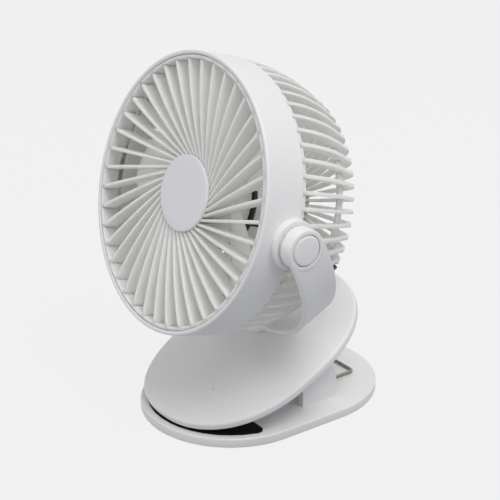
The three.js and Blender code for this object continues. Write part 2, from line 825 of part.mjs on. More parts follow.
function yoke() {
  const stations = [];
  const steps = 26;
  for (let i = 0; i <= steps; i += 1) stations.push(yokeStation((Math.PI * i) / steps));
  const bodies = [solid(strip(stations))];
  const neckTop = pivotHeight - yokeDrop + yokeWall / 2;
  bodies.push(solid(rodZ(neckRadius, coverCrown + gap, neckTop, barrelSegments)));
  bodies.push(solid(rodZ(spigotRadius, spigotEnd, neckTop, barrelSegments)));
  const screwEnd = coverCrown + swivelScrewReach + gap;
  const cuts = [solid(rodZ(screwRadius + gap, 0, screwEnd, holeSegments))];
  const capSeat = armOuter + pivotCapProud - pivotCapThickness - gap;
  const headSeat = capSeat - pivotHeadThickness - gap;
  for (const side of [-1, 1]) {
    const along = (radius, from, to) => {
      const [low, high] = side > 0 ? [from, to] : [-to, -from];
      return solid(rodX(radius, low, high, barrelSegments).translate(0, 0, pivotHeight));
    };
    bodies.push(along(armRadius, armInner, armOuter));
    cuts.push(along(pivotPinRadius + gap, armInner - past, armOuter));
    cuts.push(along(pivotHeadRadius + gap, headSeat, armOuter));
    cuts.push(along(pivotCapRadius + gap, capSeat, armOuter + past));
  }
  let body = joined(bodies);
  for (const cut of cuts) body = body.subtract(cut);
  return geometryOf(body);
}

// The pivot's loose pieces lie on the head's pivot axis. The right pin is hollow for the lead.
function pivotPieces(side) {
  const capFace = armOuter + pivotCapProud;
  const headFace = capFace - pivotCapThickness - gap;
  const headBack = headFace - pivotHeadThickness;
  const pinEnd = bandInner + bandWall / 2;
  const along = (radius, from, to) => {
    const [low, high] = side > 0 ? [from, to] : [-to, -from];
    return rodX(radius, low, high).translate(0, pivotDepth, -pivotBelowAxis);
  };
  const shank = solid(along(pivotPinRadius, pinEnd, headFace));
  let pin = shank.add(solid(along(pivotHeadRadius, headBack, headFace)));
  if (side > 0) pin = pin.subtract(solid(along(leadRadius + gap, pinEnd - past, headFace + past)));
  const washerFrom = lugFace + gap;
  const ring = solid(along(armRadius - gap, washerFrom, washerFrom + washerThickness));
  const washer = ring.subtract(solid(along(pivotPinRadius + gap, washerFrom - past, armInner)));
  return {
    pin: geometryOf(pin),
    washer: geometryOf(washer),
    cap: along(pivotCapRadius, capFace - pivotCapThickness, capFace),
  };
}

addPiece(yokeFrame, 'yoke', yoke(), looks.whiteShell);
for (const [name, side] of [['left', -1], ['right', 1]]) {
  const { pin, washer, cap } = pivotPieces(side);
  addPiece(head, `pivot_pin_${name}`, pin, looks.brightSteel);
  addPiece(head, `pivot_washer_${name}`, washer, looks.nylon);
  addPiece(head, `pivot_cap_${name}`, cap, looks.whiteShell);
}

// Head band and front grille, X across, Y back from the front rim, Z up.
function headBand() {
  const ring = turned([
    [bandInner, 0],
    [headRadius - bandEdge, 0],
    [headRadius, bandEdge],
    [headRadius, bandDepth],
    [bandInner, bandDepth],
  ], ringSegments);
  const core = solid(rodY(bandInner, 0, cageRear, ringSegments));
  let body = solid(ring);
  for (const side of [-1, 1]) {
    const along = (radius, from, to, segments) => {
      const [low, high] = side > 0 ? [from, to] : [-to, -from];
      return solid(rodX(radius, low, high, segments).translate(0, pivotDepth, -pivotBelowAxis));
    };
    const pinEnd = bandInner + bandWall / 2 - gap;
    const lug = along(lugRadius, lugRoot, lugFace, motorSegments).subtract(core);
    body = body.add(lug).subtract(along(pivotPinRadius + gap, pinEnd, lugFace + past, barrelSegments));
    if (side > 0) body = body.subtract(along(leadRadius + gap, lugRoot, pinEnd + past, smallSegments));
  }
  return geometryOf(body);
}

const grilleRingInner = ringOuter - grilleRingWall;
const grilleHubFront = discSetback + discThickness + gap;
const grilleHubRadius = discRadius - 2 * gap;
const vaneInner = grilleHubRadius - grilleHubWall / 2;
const vaneOuter = ringOuter - grilleRingWall / 2;

// Seen from the front a vane is straight and passes beside the axis. Its front edge dips behind the
// centre disc where it passes under it.
function vane(turn) {
  const underDisc = discRadius + gap;
  const steps = 2;
  const radii = [vaneInner, underDisc];
  const clear = underDisc + 4 * gap;
  for (let i = 0; i <= steps; i += 1) radii.push(clear + ((vaneOuter - clear) * i) / steps);
  const stations = radii.map((radius) => {
    const share = (radius - discRadius) / (ringOuter - discRadius);
    const angle = turn + Math.acos(vaneOffset / radius) - Math.acos(vaneOffset / ringOuter);
    const rise = vaneRise * 4 * share * (1 - share);
    const depth = vaneSetbackInner * (1 - share) + vaneSetbackOuter * share - rise;
    const front = radius > underDisc ? depth : grilleHubFront + gap;
    const half = (vaneWallInner + (vaneWallOuter - vaneWallInner) * share) / 2;
    const corner = (across, at) => {
      const around = angle + across / radius;
      return [radius * Math.cos(around), at, radius * Math.sin(around)];
    };
    const rear = depth + vaneDepth;
    return [corner(-half, front), corner(half, front), corner(half * 0.8, rear), corner(-half * 0.8, rear)];
  });
  return solid(strip(stations));
}

function frontGrille() {
  const ring = solid(turned([
    [ringOuter, grilleSetback + grilleRingEdge],
    [ringOuter - grilleRingEdge, grilleSetback],
    [grilleRingInner, grilleSetback],
    [grilleRingInner, grilleRingDepth],
    [ringOuter, grilleRingDepth],
  ], vaneCount));
  const hubRear = grilleHubFront + grilleHubDepth;
  const hub = solid(turned([
    [grilleHubRadius - grilleHubWall, grilleHubFront],
    [grilleHubRadius, grilleHubFront],
    [grilleHubRadius, hubRear],
    [grilleHubRadius - grilleHubWall, hubRear],
  ], hubSegments));
  const vanes = [];
  for (let i = 0; i < vaneCount; i += 1) {
    vanes.push(vane(radians(vaneStart) + (2 * Math.PI * i) / vaneCount));
  }
  return geometryOf(joined([...vanes, ring, hub]));
}

function grilleDisc() {
  const front = discSetback;
  const rear = front + discThickness;
  const spigot = grilleHubRadius - grilleHubWall - gap;
  return turned([
    [0, front],
    [discRadius - discEdge, front],
    [discRadius, front + discEdge],
    [discRadius, rear],
    [spigot, rear],
    [spigot, rear + grilleHubDepth / 2],
    [0, rear + grilleHubDepth / 2],
  ], hubSegments);
}

addPiece(head, 'head_band', headBand(), looks.whiteShell);
addPiece(head, 'front_grille', frontGrille(), looks.whiteGrille);
addPiece(head, 'grille_centre_disc', geometryOf(solid(grilleDisc())), looks.palePlastic);

// Rear cage.
// Outside of a rib, from the band's rear edge round the shoulder to the hub, as [radius, depth].
function ribOutline() {
  return [
    [headRadius, ribFront],
    [headRadius - cageTaper / 4, (ribFront + cageShoulderDepth) / 2],
    [shoulderRadius, cageShoulderDepth],
    [shoulderRadius - cageCorner, cageRear],
    [cageHubRadius - cageRibWidth, cageRear],
  ];
}

function cageRib(turn) {
  const outline = ribOutline();
  const stations = outline.map(([radius, depth], i) => {
    const [r0, d0] = outline[Math.max(i - 1, 0)];
    const [r1, d1] = outline[Math.min(i + 1, outline.length - 1)];
    const length = Math.hypot(r1 - r0, d1 - d0);
    const inwardR = -(d1 - d0) / length;
    const inwardD = i > 0 ? (r1 - r0) / length : 0;
    const at = (across, under) => {
      const r = radius + inwardR * under;
      const d = depth + inwardD * under;
      return [
        r * Math.cos(turn) - across * Math.sin(turn),
        d,
        r * Math.sin(turn) + across * Math.cos(turn),
      ];
    };
    const half = cageRibWidth / 2;
    return [at(-half, 0), at(half, 0), at(0, cageRibHeight)];
  });
  return solid(strip(stations));
}

function rearCage() {
  const ring = solid(turned([
    [cageRingInner, cageRingFront],
    [ringOuter, cageRingFront],
    [ringOuter, cageRingRear],
    [cageRingInner, cageRingRear],
  ], cageRibs));
  const hoop = solid(turned([
    [hoopOuter - hoopWall, hoopDepth - hoopWidth / 2],
    [hoopOuter, hoopDepth - hoopWidth / 2],
    [hoopOuter, hoopDepth + hoopWidth / 2],
    [hoopOuter - hoopWall, hoopDepth + hoopWidth / 2],
  ], cageRibs));
  const plate = solid(rodY(cageHubRadius, cagePlateFront, cagePlateRear, cageRibs));
  const ribs = [];
  for (let i = 0; i < cageRibs; i += 1) {
    ribs.push(cageRib(Math.PI / 2 + (2 * Math.PI * (i + 0.5)) / cageRibs));
  }
  const cup = solid(turned([
    [motorRadius + gap, flangeRear + gap],
    [motorRadius + gap + motorCupWall, flangeRear + gap],
    [motorRadius + gap + motorCupWall, cagePlateRear - past],
    [motorRadius + gap, cagePlateRear - past],
  ], motorSegments));
  let body = joined([...ribs, ring, hoop, plate, cup]);
  const insideBand = solid(rodY(ringOuter, 0, cageRear, cageRibs));
  for (const side of [-1, 1]) {
    const [low, high] = side > 0 ? [lugRoot, armOuter] : [-armOuter, -lugRoot];
    const lugRoom = solid(rodX(lugRadius + gap, low, high, motorSegments)
      .translate(0, pivotDepth, -pivotBelowAxis));
    body = body.subtract(lugRoom.subtract(insideBand));
  }
  const leadWay = rodX(leadRadius + 2 * gap, cageRingInner - past, ringOuter + past, holeSegments);
  body = body.subtract(solid(leadWay.translate(0, pivotDepth, -pivotBelowAxis)));
  for (const place of motorScrewPlaces()) {
    const hole = rodY(screwRadius + gap, cagePlateFront - past, cagePlateRear + past).translate(...place);
    const sink = rodY(screwHeadRadius + gap, screwSeat, cagePlateRear + past);
    body = body.subtract(solid(hole)).subtract(solid(sink.translate(...place)));
  }
  return geometryOf(body);
}

function motorScrewPlaces() {
  const places = [];
  for (let i = 0; i < motorScrewCount; i += 1) {
    const turn = Math.PI / 2 + (2 * Math.PI * i) / motorScrewCount;
    places.push([motorScrewCircle * Math.cos(turn), 0, motorScrewCircle * Math.sin(turn)]);
  }
  return places;
}

addPiece(head, 'rear_cage', rearCage(), looks.whiteGrille);

// Motor, impeller and lead.
const shaftFront = impellerHubFront - nutLength + shaftShort;
const shaftRear = motorFront + shaftReach;

function motor() {
  const can = turned([
    [0, motorFront],
    [motorRadius, motorFront],
    [motorRadius, motorFlangeDepth],
    [motorFlangeRadius, motorFlangeDepth],
    [motorFlangeRadius, flangeRear],
    [motorRadius, flangeRear],
    [motorRadius, motorRear],
    [0, motorRear],
  ], motorSegments);
  let body = solid(can).subtract(solid(rodY(shaftRadius + gap, motorFront - past, shaftRear + gap)));
  for (const place of motorScrewPlaces()) {
    const hole = rodY(screwRadius + gap, motorRear - screwReach, motorRear + past).translate(...place);
    body = body.subtract(solid(hole));
  }
  return geometryOf(body);
}

function motorScrew(place) {
  const seat = screwSeat + gap;
  const shank = solid(rodY(screwRadius, motorRear - screwReach + gap, seat + screwHeadThickness / 2));
  const headPart = solid(rodY(screwHeadRadius, seat, seat + screwHeadThickness));
  return geometryOf(shank.add(headPart)).translate(...place);
}

// One blade: its chord turns flatter from the root to the tip.
function blade(turn) {
  const stations = [];
  const steps = 4;
  const rootRadius = impellerHubRadius - bladeRootSunk;
  const middle = (impellerHubFront + motorFlangeDepth - runningGap) / 2;
  for (let i = 0; i <= steps; i += 1) {
    const share = i / steps;
    const radius = rootRadius + (impellerTipRadius - rootRadius) * share;
    const pitch = radians(bladeRootPitch + (bladeTipPitch - bladeRootPitch) * share);
    const chord = bladeChordRoot + (bladeChordTip - bladeChordRoot) * share;
    const middleTurn = turn - radians(bladeLean) * share;
    const at = (along, off) => {
      const camber = bladeCamber * chord * (1 - (2 * along) ** 2);
      const across = chord * along * Math.cos(pitch) + (off + camber) * Math.sin(pitch);
      const depth = middle + chord * along * Math.sin(pitch) - (off + camber) * Math.cos(pitch);
      const angle = middleTurn - across / radius;
      return [radius * Math.cos(angle), depth, radius * Math.sin(angle)];
    };
    const half = bladeWall / 2;
    const front = [-0.25, 0, 0.25].map((along) => at(along, half));
    const back = [0.25, 0, -0.25].map((along) => at(along, -half));
    stations.push([at(-0.5, 0), ...front, at(0.5, 0), ...back]);
  }
  return solid(strip(stations));
}

function impeller() {
  const hubRear = motorFlangeDepth - runningGap;
  const innerRadius = impellerHubRadius - impellerHubWall;
  const innerFront = impellerHubFront + impellerHubWall;
  const bore = shaftRadius + gap;
  const hubCorner = impellerHubRound * midCorner;
  const hub = solid(turned([
    [bore, impellerHubFront],
    [impellerHubRadius - impellerHubRound, impellerHubFront],
    [impellerHubRadius - hubCorner, impellerHubFront + hubCorner],
    [impellerHubRadius, impellerHubFront + impellerHubRound],
    [impellerHubRadius, hubRear],
    [innerRadius, hubRear],
    [innerRadius, innerFront],
    [bore, innerFront],
  ], motorSegments));
  const room = solid(rodY(innerRadius, innerFront, cageRear, motorSegments));
  const blades = [];
  for (let i = 0; i < bladeCount; i += 1) {
    blades.push(blade(radians(bladeStart) + (2 * Math.PI * i) / bladeCount));
  }
  return geometryOf(joined(blades).subtract(room).add(hub));
}

function impellerNut() {
  const rear = impellerHubFront - gap;
  const front = rear - nutLength;
  const bore = shaftRadius + gap;
  return geometryOf(solid(turned([
    [0, front],
    [nutRadius - nutEdge, front],
    [nutRadius, front + nutEdge],
    [nutRadius, rear],
    [bore, rear],
    [bore, shaftFront - gap],
    [0, shaftFront - gap],
  ], barrelSegments)));
}

// The lead leaves the motor's flange, bulges out over the hoop between two ribs, runs forward
// between the blade tips and the ring, and enters the right pivot.
function motorLead() {
  const slot = Math.PI / 2 - (2 * Math.PI * leadSlot) / cageRibs;
  const startRadius = motorFlangeRadius - 2 * leadRadius - gap;
  const overHoop = hoopOuter + leadRadius + leadBulge;
  const beforeHoop = (cageShoulderDepth + hoopDepth) / 2;
  const behindBand = (ribFront + hoopDepth) / 2;
  const inSlot = [
    [startRadius, flangeRear + gap],
    [startRadius, flangeRear + 4 * leadRadius],
    [(startRadius + shoulderRadius) / 2, (flangeRear + cageShoulderDepth) / 2 + 5 * leadRadius],
    [shoulderRadius - 3 * leadRadius, cageShoulderDepth + leadRadius],
    [shoulderRadius + leadRadius / 2, cageShoulderDepth + leadRadius],
    [overHoop - leadRadius, beforeHoop],
    [overHoop, hoopDepth - hoopWidth],
    [hoopOuter - leadRadius / 2, (hoopDepth + behindBand) / 2],
    [hoopOuter, behindBand],
  ];
  const points = inSlot.map(([radius, depth]) => new THREE.Vector3(
    radius * Math.cos(slot),
    depth,
    radius * Math.sin(slot),
  ));
  const slotHeight = hoopOuter * Math.sin(slot);
  const besideRing = (impellerTipRadius + cageRingInner) / 2 + gap;
  for (const share of [0.3, 0.6, 0.85]) {
    const height = slotHeight + (-pivotBelowAxis - slotHeight) * share;
    const depth = behindBand + (pivotDepth - behindBand) * (1 - (1 - share) ** 2);
    points.push(new THREE.Vector3(Math.sqrt(besideRing ** 2 - height ** 2), depth, height));
  }
  const pinEnd = bandInner + bandWall / 2 - gap;
  for (const along of [cageRingInner - gap, pinEnd]) {
    points.push(new THREE.Vector3(along, pivotDepth, -pivotBelowAxis));
  }
  const path = new THREE.CatmullRomCurve3(points, false, 'centripetal');
  const section = [];
  for (let i = 0; i < 8; i += 1) {
    const turn = (2 * Math.PI * i) / 8;
    section.push(new THREE.Vector2(leadRadius * Math.cos(turn), leadRadius * Math.sin(turn)));
  }
  return new THREE.ExtrudeGeometry(new THREE.Shape(section), {
    steps: 22,
    bevelEnabled: false,
    extrudePath: path,
  });
}

addPiece(head, 'motor', motor(), looks.blackPlastic);
motorScrewPlaces().forEach((place, i) => {
  addPiece(head, `motor_screw_${i + 1}`, motorScrew(place), looks.brightSteel);
});
addPiece(head, 'motor_lead', geometryOf(solid(motorLead())), looks.blackPlastic);
addPiece(head, 'motor_shaft', rodY(shaftRadius, shaftFront, shaftRear), looks.brightSteel);
addPiece(head, 'impeller', impeller(), looks.whiteInside);
addPiece(head, 'impeller_nut', impellerNut(), looks.whiteInside);

export default clipFan;
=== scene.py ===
from math import acos, atan2, cos, hypot, pi, radians, sin, sqrt

import bpy
from mathutils import Matrix, Vector


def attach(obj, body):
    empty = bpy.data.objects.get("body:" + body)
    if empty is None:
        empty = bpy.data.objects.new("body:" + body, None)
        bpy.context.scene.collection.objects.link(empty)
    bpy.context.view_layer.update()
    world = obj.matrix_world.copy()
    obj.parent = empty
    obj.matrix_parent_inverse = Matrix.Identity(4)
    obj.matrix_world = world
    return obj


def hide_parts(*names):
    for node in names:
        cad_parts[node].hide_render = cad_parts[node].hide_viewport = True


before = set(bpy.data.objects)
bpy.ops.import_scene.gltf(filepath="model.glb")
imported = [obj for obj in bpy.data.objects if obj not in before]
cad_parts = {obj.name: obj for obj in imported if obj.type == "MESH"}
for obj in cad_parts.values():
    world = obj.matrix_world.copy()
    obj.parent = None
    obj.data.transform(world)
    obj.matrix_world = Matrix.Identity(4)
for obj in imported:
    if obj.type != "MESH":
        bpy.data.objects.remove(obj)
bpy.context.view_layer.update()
mm = 0.001


def linearColour(hexText):
    parts = [int(hexText[i:i + 2], 16) / 255 for i in (0, 2, 4)]
    linear = [p / 12.92 if p <= 0.04045 else ((p + 0.055) / 1.055) ** 2.4 for p in parts]
    return (*linear, 1)


def addNode(tree, kind, settings=(), links=()):
    node = tree.nodes.new(kind)
    for key, value in dict(settings).items():
        if isinstance(key, int) or key in node.inputs:
            node.inputs[key].default_value = value
        else:
            setattr(node, key, value)
    for key, source in dict(links).items():
        tree.links.new(source, node.inputs[key])
    return node


def clearSelection():
    if bpy.context.object and bpy.context.object.mode != "OBJECT":
        bpy.ops.object.mode_set(mode="OBJECT")
    bpy.ops.object.select_all(action="DESELECT")


def selectOnly(piece):
    clearSelection()
    piece.select_set(True)
    bpy.context.view_layer.objects.active = piece


def applyModifier(piece, kind, **settings):
    selectOnly(piece)
    bpy.ops.object.modifier_add(type=kind)
    modifier = piece.modifiers[-1]
    for key, value in settings.items():
        setattr(modifier, key, value)
    bpy.ops.object.modifier_apply(modifier=modifier.name)


def softenEdges(piece, width, segments=3, angle=30):
    applyModifier(piece, "BEVEL", width=width * mm, segments=segments,
                  limit_method="ANGLE", angle_limit=radians(angle))


def placeMesh(piece, matrix):
    piece.matrix_world = matrix @ piece.matrix_world
    selectOnly(piece)
    bpy.ops.object.transform_apply(location=True, rotation=True, scale=True)
    return piece


def joinPieces(parts):
    clearSelection()
    for part in parts:
        part.select_set(True)
    bpy.context.view_layer.objects.active = parts[0]
    bpy.ops.object.join()
    return parts[0]


def mendNormals(piece):
    selectOnly(piece)
    bpy.ops.object.mode_set(mode="EDIT")
    bpy.ops.mesh.select_all(action="SELECT")
    bpy.ops.mesh.remove_doubles(threshold=0.00001)
    bpy.ops.mesh.normals_make_consistent(inside=False)
    bpy.ops.object.mode_set(mode="OBJECT")


# a profile of (radius, place along Y) drawn point by point and spun round the Y axis
def turnedShape(profile, steps=128, closed=True):
    clearSelection()
    bpy.ops.mesh.primitive_plane_add(size=mm)
    piece = bpy.context.object
    bpy.ops.object.mode_set(mode="EDIT")
    bpy.ops.mesh.select_all(action="SELECT")
    bpy.ops.mesh.merge(type="CENTER")
    here = Vector((profile[0][0] * mm, profile[0][1] * mm, 0))
    bpy.ops.transform.translate(value=here)
    for radius, along in profile[1:]:
        there = Vector((radius * mm, along * mm, 0))
        bpy.ops.mesh.extrude_vertices_move(TRANSFORM_OT_translate={"value": there - here})
        here = there
    if closed:
        home = Vector((profile[0][0] * mm, profile[0][1] * mm, 0))
        bpy.ops.mesh.extrude_vertices_move(TRANSFORM_OT_translate={"value": home - here})
    bpy.ops.mesh.select_all(action="SELECT")
    bpy.ops.mesh.remove_doubles(threshold=0.000001)
    bpy.ops.mesh.spin(steps=steps, angle=2 * pi, center=(0, 0, 0), axis=(0, 1, 0))
    bpy.ops.object.mode_set(mode="OBJECT")
    mendNormals(piece)
    return piece


def barX(radius, low, high, sides=64):
    clearSelection()
    bpy.ops.mesh.primitive_cylinder_add(
        vertices=sides, radius=radius * mm, depth=(high - low) * mm,
        location=((low + high) / 2 * mm, 0, 0), rotation=(0, pi / 2, 0))
    piece = bpy.context.object
    bpy.ops.object.transform_apply(location=True, rotation=True, scale=True)
    return piece


def sheetMesh(columns, rows, placeOf):
    clearSelection()
    bpy.ops.mesh.primitive_grid_add(x_subdivisions=columns, y_subdivisions=rows, size=2)
    piece = bpy.context.object
    for vertex in piece.data.vertices:
        across, along = (vertex.co.x + 1) / 2, (vertex.co.y + 1) / 2
        vertex.co = Vector(placeOf(across, along)) * mm
    return piece


def copiesRoundY(piece, angles):
    copies = []
    for angle in angles:
        copy = piece.copy()
        copy.data = piece.data.copy()
        bpy.context.scene.collection.objects.link(copy)
        copy.matrix_world = Matrix.Rotation(-angle, 4, "Y")
        copies.append(copy)
    bpy.data.objects.remove(piece)
    whole = joinPieces(copies)
    bpy.ops.object.transform_apply(location=True, rotation=True, scale=True)
    return whole


def cutWith(piece, cutter):
    applyModifier(piece, "BOOLEAN", operation="DIFFERENCE", solver="EXACT", object=cutter)
    bpy.data.objects.remove(cutter)


def finishPiece(piece, name, material, body, slotName, *nodes, smooth=35):
    selectOnly(piece)
    bpy.ops.object.shade_smooth_by_angle(angle=radians(smooth))
    piece.name = name
    piece.data.name = name
    piece.data.materials.clear()
    piece.data.materials.append(material)
    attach(piece, body)
    if nodes:
        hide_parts(*nodes)
    print("made", name)
    return piece


camera = {"azimuth": 53.84, "elevation": 22.48, "distance": 780.79, "aimAcross": -5.71,
          "aimHeight": 89.63, "roll": 0.05, "lens": 100.8, "sensor": 36}


def makeCamera():
    turn, lift = radians(camera["azimuth"]), radians(camera["elevation"])
    back = Vector((sin(turn) * cos(lift), -cos(turn) * cos(lift), sin(lift)))
    right = Vector((cos(turn), sin(turn), 0))
    up = back.cross(right)
    aim = right * camera["aimAcross"] + Vector((0, 0, camera["aimHeight"]))
    place = (aim + back * camera["distance"]) * mm
    pose = Matrix((right, up, back)).transposed().to_4x4()
    cameraData = bpy.data.cameras.new("photoCamera")
    cameraData.lens = camera["lens"]
    cameraData.sensor_width = camera["sensor"]
    cameraData.clip_start = 0.01
    cameraObject = bpy.data.objects.new("photoCamera", cameraData)
    bpy.context.scene.collection.objects.link(cameraObject)
    roll = Matrix.Rotation(radians(camera["roll"]), 4, "Z")
    cameraObject.matrix_world = Matrix.Translation(place) @ pose @ roll
    bpy.context.scene.camera = cameraObject


makeCamera()

# injection-moulded ABS straight from a spark-eroded tool: satin, with a faint orange peel, and optionally a
# faint painted glow
def mouldedAbs(name, lightHex, deepHex, roughness=0.42, grain=0.9, glow=0, paintedGlow=0):
    material = bpy.data.materials.new(name)
    material.use_nodes = True
    tree = material.node_tree
    shader = tree.nodes["Principled BSDF"]
    place = addNode(tree, "ShaderNodeTexCoord").outputs["Object"]
    # slow change of tint over about 35 mm, from the melt's flow
    drift = addNode(tree, "ShaderNodeTexNoise", {"Scale": 1 / (35 * mm), "Detail": 2.0}, {"Vector": place})
    tint = addNode(tree, "ShaderNodeMix",
                   {"data_type": "RGBA", 6: linearColour(lightHex), 7: linearColour(deepHex)},
                   {0: drift.outputs["Fac"]})
    tree.links.new(tint.outputs[2], shader.inputs["Base Color"])
    # the real grain is about 0.1 mm, drawn at 0.9 mm so that it shows
    peel = addNode(tree, "ShaderNodeTexNoise", {"Scale": 1 / (grain * mm), "Detail": 3.0}, {"Vector": place})
    bump = addNode(tree, "ShaderNodeBump", {"Strength": 0.12, "Distance": 0.03 * mm},
                   {"Height": peel.outputs["Fac"]})
    tree.links.new(bump.outputs["Normal"], shader.inputs["Normal"])
    gloss = addNode(tree, "ShaderNodeMapRange",
                    {"To Min": roughness - 0.05, "To Max": roughness + 0.06},
                    {"Value": drift.outputs["Fac"]})
    tree.links.new(gloss.outputs["Result"], shader.inputs["Roughness"])
    shader.inputs["IOR"].default_value = 1.53
    # thin white walls let some light through, over a few millimetres
    shader.inputs["Subsurface Weight"].default_value = glow
    shader.inputs["Subsurface Radius"].default_value = (1.0, 0.95, 0.88)
    shader.inputs["Subsurface Scale"].default_value = 7 * mm
    # a faint painted glow in the plastic's own tint, standing in for light carried into the fins' shaded
    # sides and gaps
    tree.links.new(tint.outputs[2], shader.inputs["Emission Color"])
    shader.inputs["Emission Strength"].default_value = paintedGlow
    return material


# soft black rubber sheet, finely ribbed by its mould and slightly dusty
def blackRubber():
    material = bpy.data.materials.new("mouldedBlackRubber")
    material.use_nodes = True
    tree = material.node_tree
    shader = tree.nodes["Principled BSDF"]
    place = addNode(tree, "ShaderNodeTexCoord").outputs["Object"]
    dust = addNode(tree, "ShaderNodeTexNoise", {"Scale": 1 / (6 * mm), "Detail": 5.0}, {"Vector": place})
    ramp = addNode(tree, "ShaderNodeValToRGB", (), {"Fac": dust.outputs["Fac"]})
    ramp.color_ramp.elements[0].color = linearColour("08080a")
    ramp.color_ramp.elements[1].color = linearColour("121214")
    tree.links.new(ramp.outputs["Color"], shader.inputs["Base Color"])
    grain = addNode(tree, "ShaderNodeTexNoise", {"Scale": 1 / (0.7 * mm), "Detail": 4.0}, {"Vector": place})
    bump = addNode(tree, "ShaderNodeBump", {"Strength": 0.3, "Distance": 0.06 * mm},
                   {"Height": grain.outputs["Fac"]})
    tree.links.new(bump.outputs["Normal"], shader.inputs["Normal"])
    shader.inputs["Roughness"].default_value = 0.8
    shader.inputs["Specular IOR Level"].default_value = 0.12
    return material


# drawn spring-steel wire: dark nickel colour with fine scratches along it
def drawnWire(name, lightHex, darkHex, roughness):
    material = bpy.data.materials.new(name)
    material.use_nodes = True
    tree = material.node_tree
    shader = tree.nodes["Principled BSDF"]
    place = addNode(tree, "ShaderNodeTexCoord").outputs["Object"]
    streaks = addNode(tree, "ShaderNodeTexNoise", {"Scale": 1 / (0.8 * mm), "Detail": 5.0}, {"Vector": place})
    ramp = addNode(tree, "ShaderNodeValToRGB", (), {"Fac": streaks.outputs["Fac"]})
    ramp.color_ramp.elements[0].color = linearColour(darkHex)
    ramp.color_ramp.elements[1].color = linearColour(lightHex)
    tree.links.new(ramp.outputs["Color"], shader.inputs["Base Color"])
    rough = addNode(tree, "ShaderNodeMapRange",
                    {"To Min": roughness - 0.08, "To Max": roughness + 0.12},
                    {"Value": streaks.outputs["Fac"]})
    tree.links.new(rough.outputs["Result"], shader.inputs["Roughness"])
    shader.inputs["Metallic"].default_value = 1.0
    return material


shellAbs = mouldedAbs("satinWhiteAbs", "f1f1f1", "ecebec")
# the grille, cage and inside mouldings get a small painted glow that lifts their shade
grilleAbs = mouldedAbs("satinGrilleAbs", "f9f8f4", "f6f5f0", 0.46, glow=0.7, paintedGlow=0.015)
insideAbs = mouldedAbs("satinInsideAbs", "f7f5ef", "f2f0ea", 0.5, glow=1, paintedGlow=0.05)
discAbs = mouldedAbs("fineDiscAbs", "f0f0f2", "ebebee", 0.36, 0.7)
motorAbs = mouldedAbs("blackNylon", "1d1d1e", "141415", 0.5)
gripRubber = blackRubber()
springSteel = drawnWire("drawnSpringSteel", "bdb6ac", "5a5148", 0.24)
platedSteel = drawnWire("nickelPlatedSteel", "c9cbce", "a3a6aa", 0.3)
paleNylon = mouldedAbs("naturalNylon", "d9d8d2", "cccbc4", 0.5)
boardResin = mouldedAbs("solderMask", "2a6a48", "1f5137", 0.45)
cellFilm = mouldedAbs("cellShrinkFilm", "9fb4c0", "8ea4b1", 0.3)
ledLensMaterial = mouldedAbs("smokedLens", "d9dadc", "cfd0d3", 0.3)

print("materials ready")

headPlace = Matrix.Translation((0, -55.0008 * mm, 135.7485 * mm)) @ Matrix.Rotation(radians(-16.4), 4, "X")
jawPlace = Matrix.Translation((0, -10.0839 * mm, 33.9681 * mm)) @ Matrix.Rotation(radians(25.4), 4, "X")
forkPlace = jawPlace @ Matrix.Translation((0, 16 * mm, 0))
pivotInHead = Matrix.Translation((0, 20.1 * mm, -3.1 * mm))

band = {"radius": 75, "wall": 2.25, "depth": 23, "lip": 1.0, "lugRadius": 12.8, "lugFace": 78.2}


def makeBand():
    outer, inner, depth, lip = band["radius"], band["radius"] - band["wall"], band["depth"], band["lip"]
    profile = [(inner, 0.5), (inner + 0.35, 0.1), (inner + 0.8, 0), (outer - lip, 0)]
    for step in range(1, 6):
        turn = pi / 2 * step / 6
        profile.append((outer - lip + lip * sin(turn), lip - lip * cos(turn)))
    profile += [(outer, lip * 1.2), (outer, depth - 0.4), (outer - 0.4, depth), (inner, depth)]
    ring = turnedShape(profile, 192)
    lugs = []
    for side in (-1, 1):
        root = 70
        low, high = (root, band["lugFace"]) if side > 0 else (-band["lugFace"], -root)
        lug = placeMesh(barX(band["lugRadius"], low, high, 96), pivotInHead)
        softenEdges(lug, 0.7, 3, 60)
        core = turnedShape([(0, -1), (inner, -1), (inner, 80), (0, 80)], 192, False)
        cutWith(lug, core)
        lugs.append(lug)
    whole = joinPieces([ring] + lugs)
    placeMesh(whole, headPlace)
    finishPiece(whole, "bandShell", shellAbs, "head", "white_shell", "head_band")


makeBand()

grille = {"vanes": 40, "start": 4.6, "offset": 14.2, "setInner": 5.8, "setOuter": 0.7,
          "rise": 1.5, "depth": 8.4, "wallInner": 1.35, "wallOuter": 1.95, "discRadius": 20.4,
          "ringOuter": 72.45, "ringWall": 2.0, "ringDepth": 9.5, "ringFront": 0.3}


def vanePlace(share, back):
    radius = grille["discRadius"] - 1.6 + (grille["ringOuter"] - 1.0 - grille["discRadius"] + 1.6) * share
    outward = (radius - grille["discRadius"]) / (grille["ringOuter"] - grille["discRadius"])
    # seen from the front a vane is straight and passes beside the axis
    turn = acos(grille["offset"] / radius) - acos(grille["offset"] / grille["ringOuter"])
    angle = radians(grille["start"]) + turn
    front = grille["setInner"] * (1 - outward) + grille["setOuter"] * outward
    front -= grille["rise"] * 4 * outward * (1 - outward)
    rear = front + grille["depth"]
    if radius < grille["discRadius"] + 0.2:
        front = max(front, 6.6)
    depth = front + (rear - front) * back
    return (radius * cos(angle), depth, radius * sin(angle))


